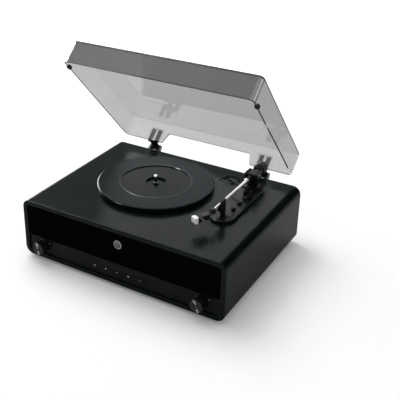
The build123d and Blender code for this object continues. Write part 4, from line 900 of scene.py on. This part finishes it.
def button_mark(kind, place, size, rise):
    """The pieces of one button's mark."""
    if kind == "ring":
        ring = add_ring("power_mark", size, size * RING_HOLE, 2 * rise, place, rise * RING_EDGE, sides=32)
        below = place - DOT_DROP * WAYS["Z"]
        dot = add_disc("power_dot", size * DOT_SIZE, 2 * rise, below, "Y", 16)
        return [ring, round_edges(dot, rise * RING_EDGE, segments=1)]
    if kind == "square":
        return [add_bar("source_mark", SQUARE_SIZE * size, SQUARE_SIZE * size, place, rise)]
    if kind == "window":
        return [add_bar("lamp_mark", WINDOW_WIDTH * size, WINDOW_HEIGHT * size, place, rise)]
    sidesteps = {"play": (0,), "skip": (-0.5, 0.5)}[kind]
    marks = []
    for number, sidestep in enumerate(sidesteps, start=1):
        name = "%s_mark_%d" % (kind, number)
        spot = place + sidestep * ARROW_STEP * size * WAYS["X"]
        arrow = add_disc(name, size * ARROW_SIZE, 2 * rise, spot, "Y", 3, math.pi / 2)
        marks.append(round_edges(arrow, rise * ARROW_EDGE, segments=1))
    return marks


def add_knob_tick(side, rise):
    """Printed tick above and to the right of a knob."""
    right, up, width, height = 15.6 * MM, 8.5 * MM, 2.2 * MM, 0.8 * MM
    spot = middle(side + "_knob") + Vector((right, 0, up))
    spot.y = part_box("control_strip")[0].y
    ready(add_bar(side + "_tick", width, height, spot, rise), "cabinet", "pale_print", "badge_metal")


def add_badge_rim():
    """Bright rim on the badge's face."""
    margin, width, depth, edge = 1.0 * MM, 0.7 * MM, 0.3 * MM, 0.08 * MM
    low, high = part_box("grille_badge")
    outer = (high.x - low.x) / 2 - margin
    rim = add_ring("badge_rim", outer, outer - width, depth, front_of("grille_badge"), edge)
    ready(rim, "cabinet", "bright_metal", "badge_metal")


def add_socket_ring():
    """Dark ring round the headphone socket."""
    outer, inner, depth, edge = 2.5 * MM, 1.85 * MM, 0.5 * MM, 0.12 * MM
    ring = add_ring("headphone_ring", outer, inner, depth, front_of("headphone_jack"), edge, sides=48)
    ready(ring, "cabinet", "black_screws", "dark_steel")


def add_mat_bead(hole):
    """Glossy bead round the hole in the platter's mat, mostly sunk in it."""
    outside, inside, depth, sink, edge = 0.9 * MM, 0.8 * MM, 1.6 * MM, 0.5 * MM, 0.7 * MM
    hub = middle("platter_mat")
    hub.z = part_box("platter_mat")[1].z - sink
    bead = add_ring("mat_bead", hole + outside, hole - inside, depth, hub, edge, "Z", 160)
    moulded("bead_gloss", (0.004, 0.007, 0.007), 0.12, specular=0.45, spread=0.05)
    ready(bead, "platter_assembly", "bead_gloss", "platter_black")


class PLAYER_OT_front_marks(bpy.types.Operator):
    """Marks of the buttons and knobs, the rims of badge and headphone socket, and the mat's bead"""

    bl_idname = "player.front_marks"
    bl_label = "Front marks"

    def execute(self, context):
        settings = context.scene.player_front
        moulded("pale_print", settings.print_color, 0.5, spread=0.06, grain=2000.0, depth=0.002)
        moulded("lamp_window", settings.window_color, 0.25, spread=0.1, grain=2000.0)
        rise = settings.print_rise

        for number, kind in enumerate(("ring", "square", "play", "skip", "window"), start=1):
            place = front_of("button_%d" % number)
            place.x -= MARK_LEFT
            place.z = settings.mark_height
            paint = ("lamp_window", "button_dark") if kind == "window" else ("pale_print", "badge_metal")
            for mark in button_mark(kind, place, settings.mark_radius, rise):
                ready(mark, "button_%d_body" % number, *paint)

        for side in KNOBS:
            add_knob_tick(side, rise)
        add_badge_rim()
        add_socket_ring()
        add_mat_bead(settings.mat_hole)
        return {"FINISHED"}


class ArmSettings(bpy.types.PropertyGroup):
    """Fittings of the tonearm and its plate."""

    collar_length: length_setting("Collar length", "Length of the bright collar before the pivot", 0.003)
    dial_ticks: bpy.props.IntProperty(
        name="Dial ticks", description="Number of ticks round the balance weight's dial", default=20, min=4)
    print_color: color_setting("Plate print", "Colour of the plate's numbers", (0.12, 0.12, 0.12))
    letter_height: length_setting("Letter height", "Height of the numbers on the plate", 0.0036)


def add_collar(length):
    """Bright collar round the tube before the pivot."""
    rise, gap, edge = 1.5 * MM, 0.03 * MM, 0.4 * MM
    low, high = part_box("tonearm_tube")
    radius = (high.x - low.x) / 2
    centre = (low + high) / 2
    centre.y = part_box("gimbal_block")[0].y - length / 2
    collar = add_ring("tube_collar", radius + rise, radius + gap, length, centre, edge)
    ready(collar, "tonearm", "bright_metal", "bright_metal")


def add_pivot_screws():
    """A slotted head at each end of the tilting pins, a little proud of the yoke."""
    radius, depth, slot_width, proud = 2.6 * MM, 0.8 * MM, 0.7 * MM, 0.3 * MM
    low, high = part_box("pivot_pins")
    for name, out, end in (("left", -1, low.x), ("right", 1, high.x)):
        centre = (end + out * proud, (low.y + high.y) / 2, middle("tonearm_tube").z)
        head = add_slotted_head("pivot_screw_" + name, radius, depth, centre, slot_width, "X", out)
        ready(head, "yoke", "black_screws", "dark_steel")


def add_dial(count):
    """Plain face on the balance weight, with ticks round it, every fifth a long one."""
    outer, inner, depth, edge = 8.6 * MM, 4.6 * MM, 0.3 * MM, 0.08 * MM
    rim, long_tick, short_tick = 8.2 * MM, 1.6 * MM, 1.0 * MM
    tick_width, tick_depth, tick_edge, tick_rise = 0.3 * MM, 0.12 * MM, 0.03 * MM, 0.2 * MM
    axis = middle("tonearm_tube")
    axis.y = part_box("counterweight")[0].y
    dial = add_ring("weight_dial_face", outer, inner, depth, axis, edge)
    ready(dial, "balance_weight", "arm_paint", "arm_black")
    for i in range(count):
        angle = 2 * math.pi * i / count
        reach = short_tick if i % 5 else long_tick
        middle_reach = rim - reach / 2
        place = (axis.x + middle_reach * math.sin(angle), axis.y - tick_rise,
                 axis.z + middle_reach * math.cos(angle))
        tick = add_block("dial_tick_%02d" % (i + 1), (tick_width, tick_depth, reach), place, (0, angle, 0))
        ready(round_edges(tick, tick_edge, segments=1), "balance_weight", "pale_print", "badge_metal")


def add_bands():
    """Raised bands round the balance weight."""
    count, first, step = 6, 7.2 * MM, 2.4 * MM
    outer, inner, width, edge = 11.15 * MM, 10.7 * MM, 1.3 * MM, 0.15 * MM
    axis = middle("tonearm_tube")
    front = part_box("counterweight")[0].y
    for i in range(count):
        centre = (axis.x, front + first + i * step, axis.z)
        band = add_ring("weight_band_%d" % (i + 1), outer, inner, width, centre, edge)
        ready(band, "balance_weight", "arm_paint", "arm_black")


def add_shell_screws():
    """Two slotted heads along the middle of the angled headshell."""
    radius, depth, slot_width, drop = 1.5 * MM, 0.7 * MM, 0.4 * MM, 1.2 * MM
    shell_angle = math.radians(-27)
    turn = Matrix.Rotation(shell_angle, 3, "Z")
    end = middle("tonearm_tube")
    end.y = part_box("tonearm_tube")[0].y
    for number, reach in enumerate((8.5 * MM, 27.0 * MM), start=1):
        place = end + turn @ Vector((0, -reach, -drop))
        head = add_slotted_head("shell_screw_%d" % number, radius, depth, place, slot_width)
        ready(head, "tonearm", "black_screws", "dark_steel")


def add_plate_print(settings):
    """Numbers and words beside the two sliders."""
    moulded("plate_print", settings.print_color, 0.5, spread=0.06)
    beside, above, below, half, rise, depth = 4.2 * MM, 2.0 * MM, 5.2 * MM, 1.3 * MM, 0.02 * MM, 0.04 * MM
    speed_low, speed_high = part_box("speed_selector")
    stop_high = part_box("auto_stop_switch")[1]
    words = (
        ("speed_45", "45", speed_high.y + above),
        ("speed_33", "33", middle("speed_selector").y - half),
        ("speed_78", "78", speed_low.y - below),
        ("stop_on", "ON", stop_high.y + above),
        ("stop_off", "OFF", middle("auto_stop_switch").y - half),
    )
    for name, text, y in words:
        place = (speed_high.x + beside, y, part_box("arm_base_plate")[1].z + rise)
        letters = add_letters(name, text, settings.letter_height, place, depth)
        ready(letters, "cabinet", "plate_print", "badge_metal")


class PLAYER_OT_arm_fittings(bpy.types.Operator):
    """Collar, pivot screw heads, the weight's dial and bands, shell screws and the plate's numbers"""

    bl_idname = "player.arm_fittings"
    bl_label = "Arm fittings"

    def execute(self, context):
        settings = context.scene.player_arm
        add_collar(settings.collar_length)
        add_pivot_screws()
        add_dial(settings.dial_ticks)
        add_bands()
        add_shell_screws()
        add_plate_print(settings)
        return {"FINISHED"}


class RearSettings(bpy.types.PropertyGroup):
    """Trims on the rear."""

    left_color: color_setting("Left channel", "Colour of the left line socket's ring", (0.7, 0.7, 0.68))
    right_color: color_setting(
        "Right channel", "Colour of the right line socket's ring", (0.45, 0.02, 0.02))


class PLAYER_OT_rear_trims(bpy.types.Operator):
    """Coloured rings at the line sockets"""

    bl_idname = "player.rear_trims"
    bl_label = "Rear trims"

    def execute(self, context):
        settings = context.scene.player_rear
        inset, back = 7 * MM, 7.2 * MM
        outer, inner, width, edge = 5.3 * MM, 4.3 * MM, 1.0 * MM, 0.2 * MM
        low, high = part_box("line_out_jacks")
        for side, x, color in (("left", low.x + inset, settings.left_color),
                               ("right", high.x - inset, settings.right_color)):
            moulded(side + "_ring_plastic", color, 0.4, spread=0.05)
            centre = (x, high.y - back, (low.z + high.z) / 2)
            ring = add_ring(side + "_socket_ring", outer, inner, width, centre, edge)
            ready(ring, "cabinet", side + "_ring_plastic", "black_plastic")
        return {"FINISHED"}


class PLAYER_PT_panel(bpy.types.Panel):
    """Sidebar panel with the settings and one button for each piece"""

    bl_label = "Record Player"
    bl_idname = "PLAYER_PT_panel"
    bl_space_type = "VIEW_3D"
    bl_region_type = "UI"
    bl_category = "Record Player"

    def draw(self, context):
        for settings in SETTINGS:
            group = getattr(context.scene, settings)
            for name in group.bl_rna.properties.keys():
                if name not in ("rna_type", "name"):
                    self.layout.prop(group, name)
        for operator in OPERATORS:
            self.layout.operator(operator.bl_idname)


SETTINGS = {
    "player_studio": StudioSettings,
    "player_finishes": FinishSettings,
    "player_knobs": KnobSettings,
    "player_front": FrontSettings,
    "player_arm": ArmSettings,
    "player_rear": RearSettings,
}
OPERATORS = (
    PLAYER_OT_studio,
    PLAYER_OT_finishes,
    PLAYER_OT_knob_grips,
    PLAYER_OT_front_marks,
    PLAYER_OT_arm_fittings,
    PLAYER_OT_rear_trims,
)


def register():
    for name, group in SETTINGS.items():
        bpy.utils.register_class(group)
        setattr(bpy.types.Scene, name, bpy.props.PointerProperty(type=group))
    for made in (*OPERATORS, PLAYER_PT_panel):
        bpy.utils.register_class(made)


def unregister():
    for made in reversed((*OPERATORS, PLAYER_PT_panel)):
        bpy.utils.unregister_class(made)
    for name, group in SETTINGS.items():
        delattr(bpy.types.Scene, name)
        bpy.utils.unregister_class(group)


def main():
    """Runs each operator in order."""
    register()
    for operator in OPERATORS:
        space, name = operator.bl_idname.split(".")
        getattr(getattr(bpy.ops, space), name)()


if __name__ == "__main__":
    main()
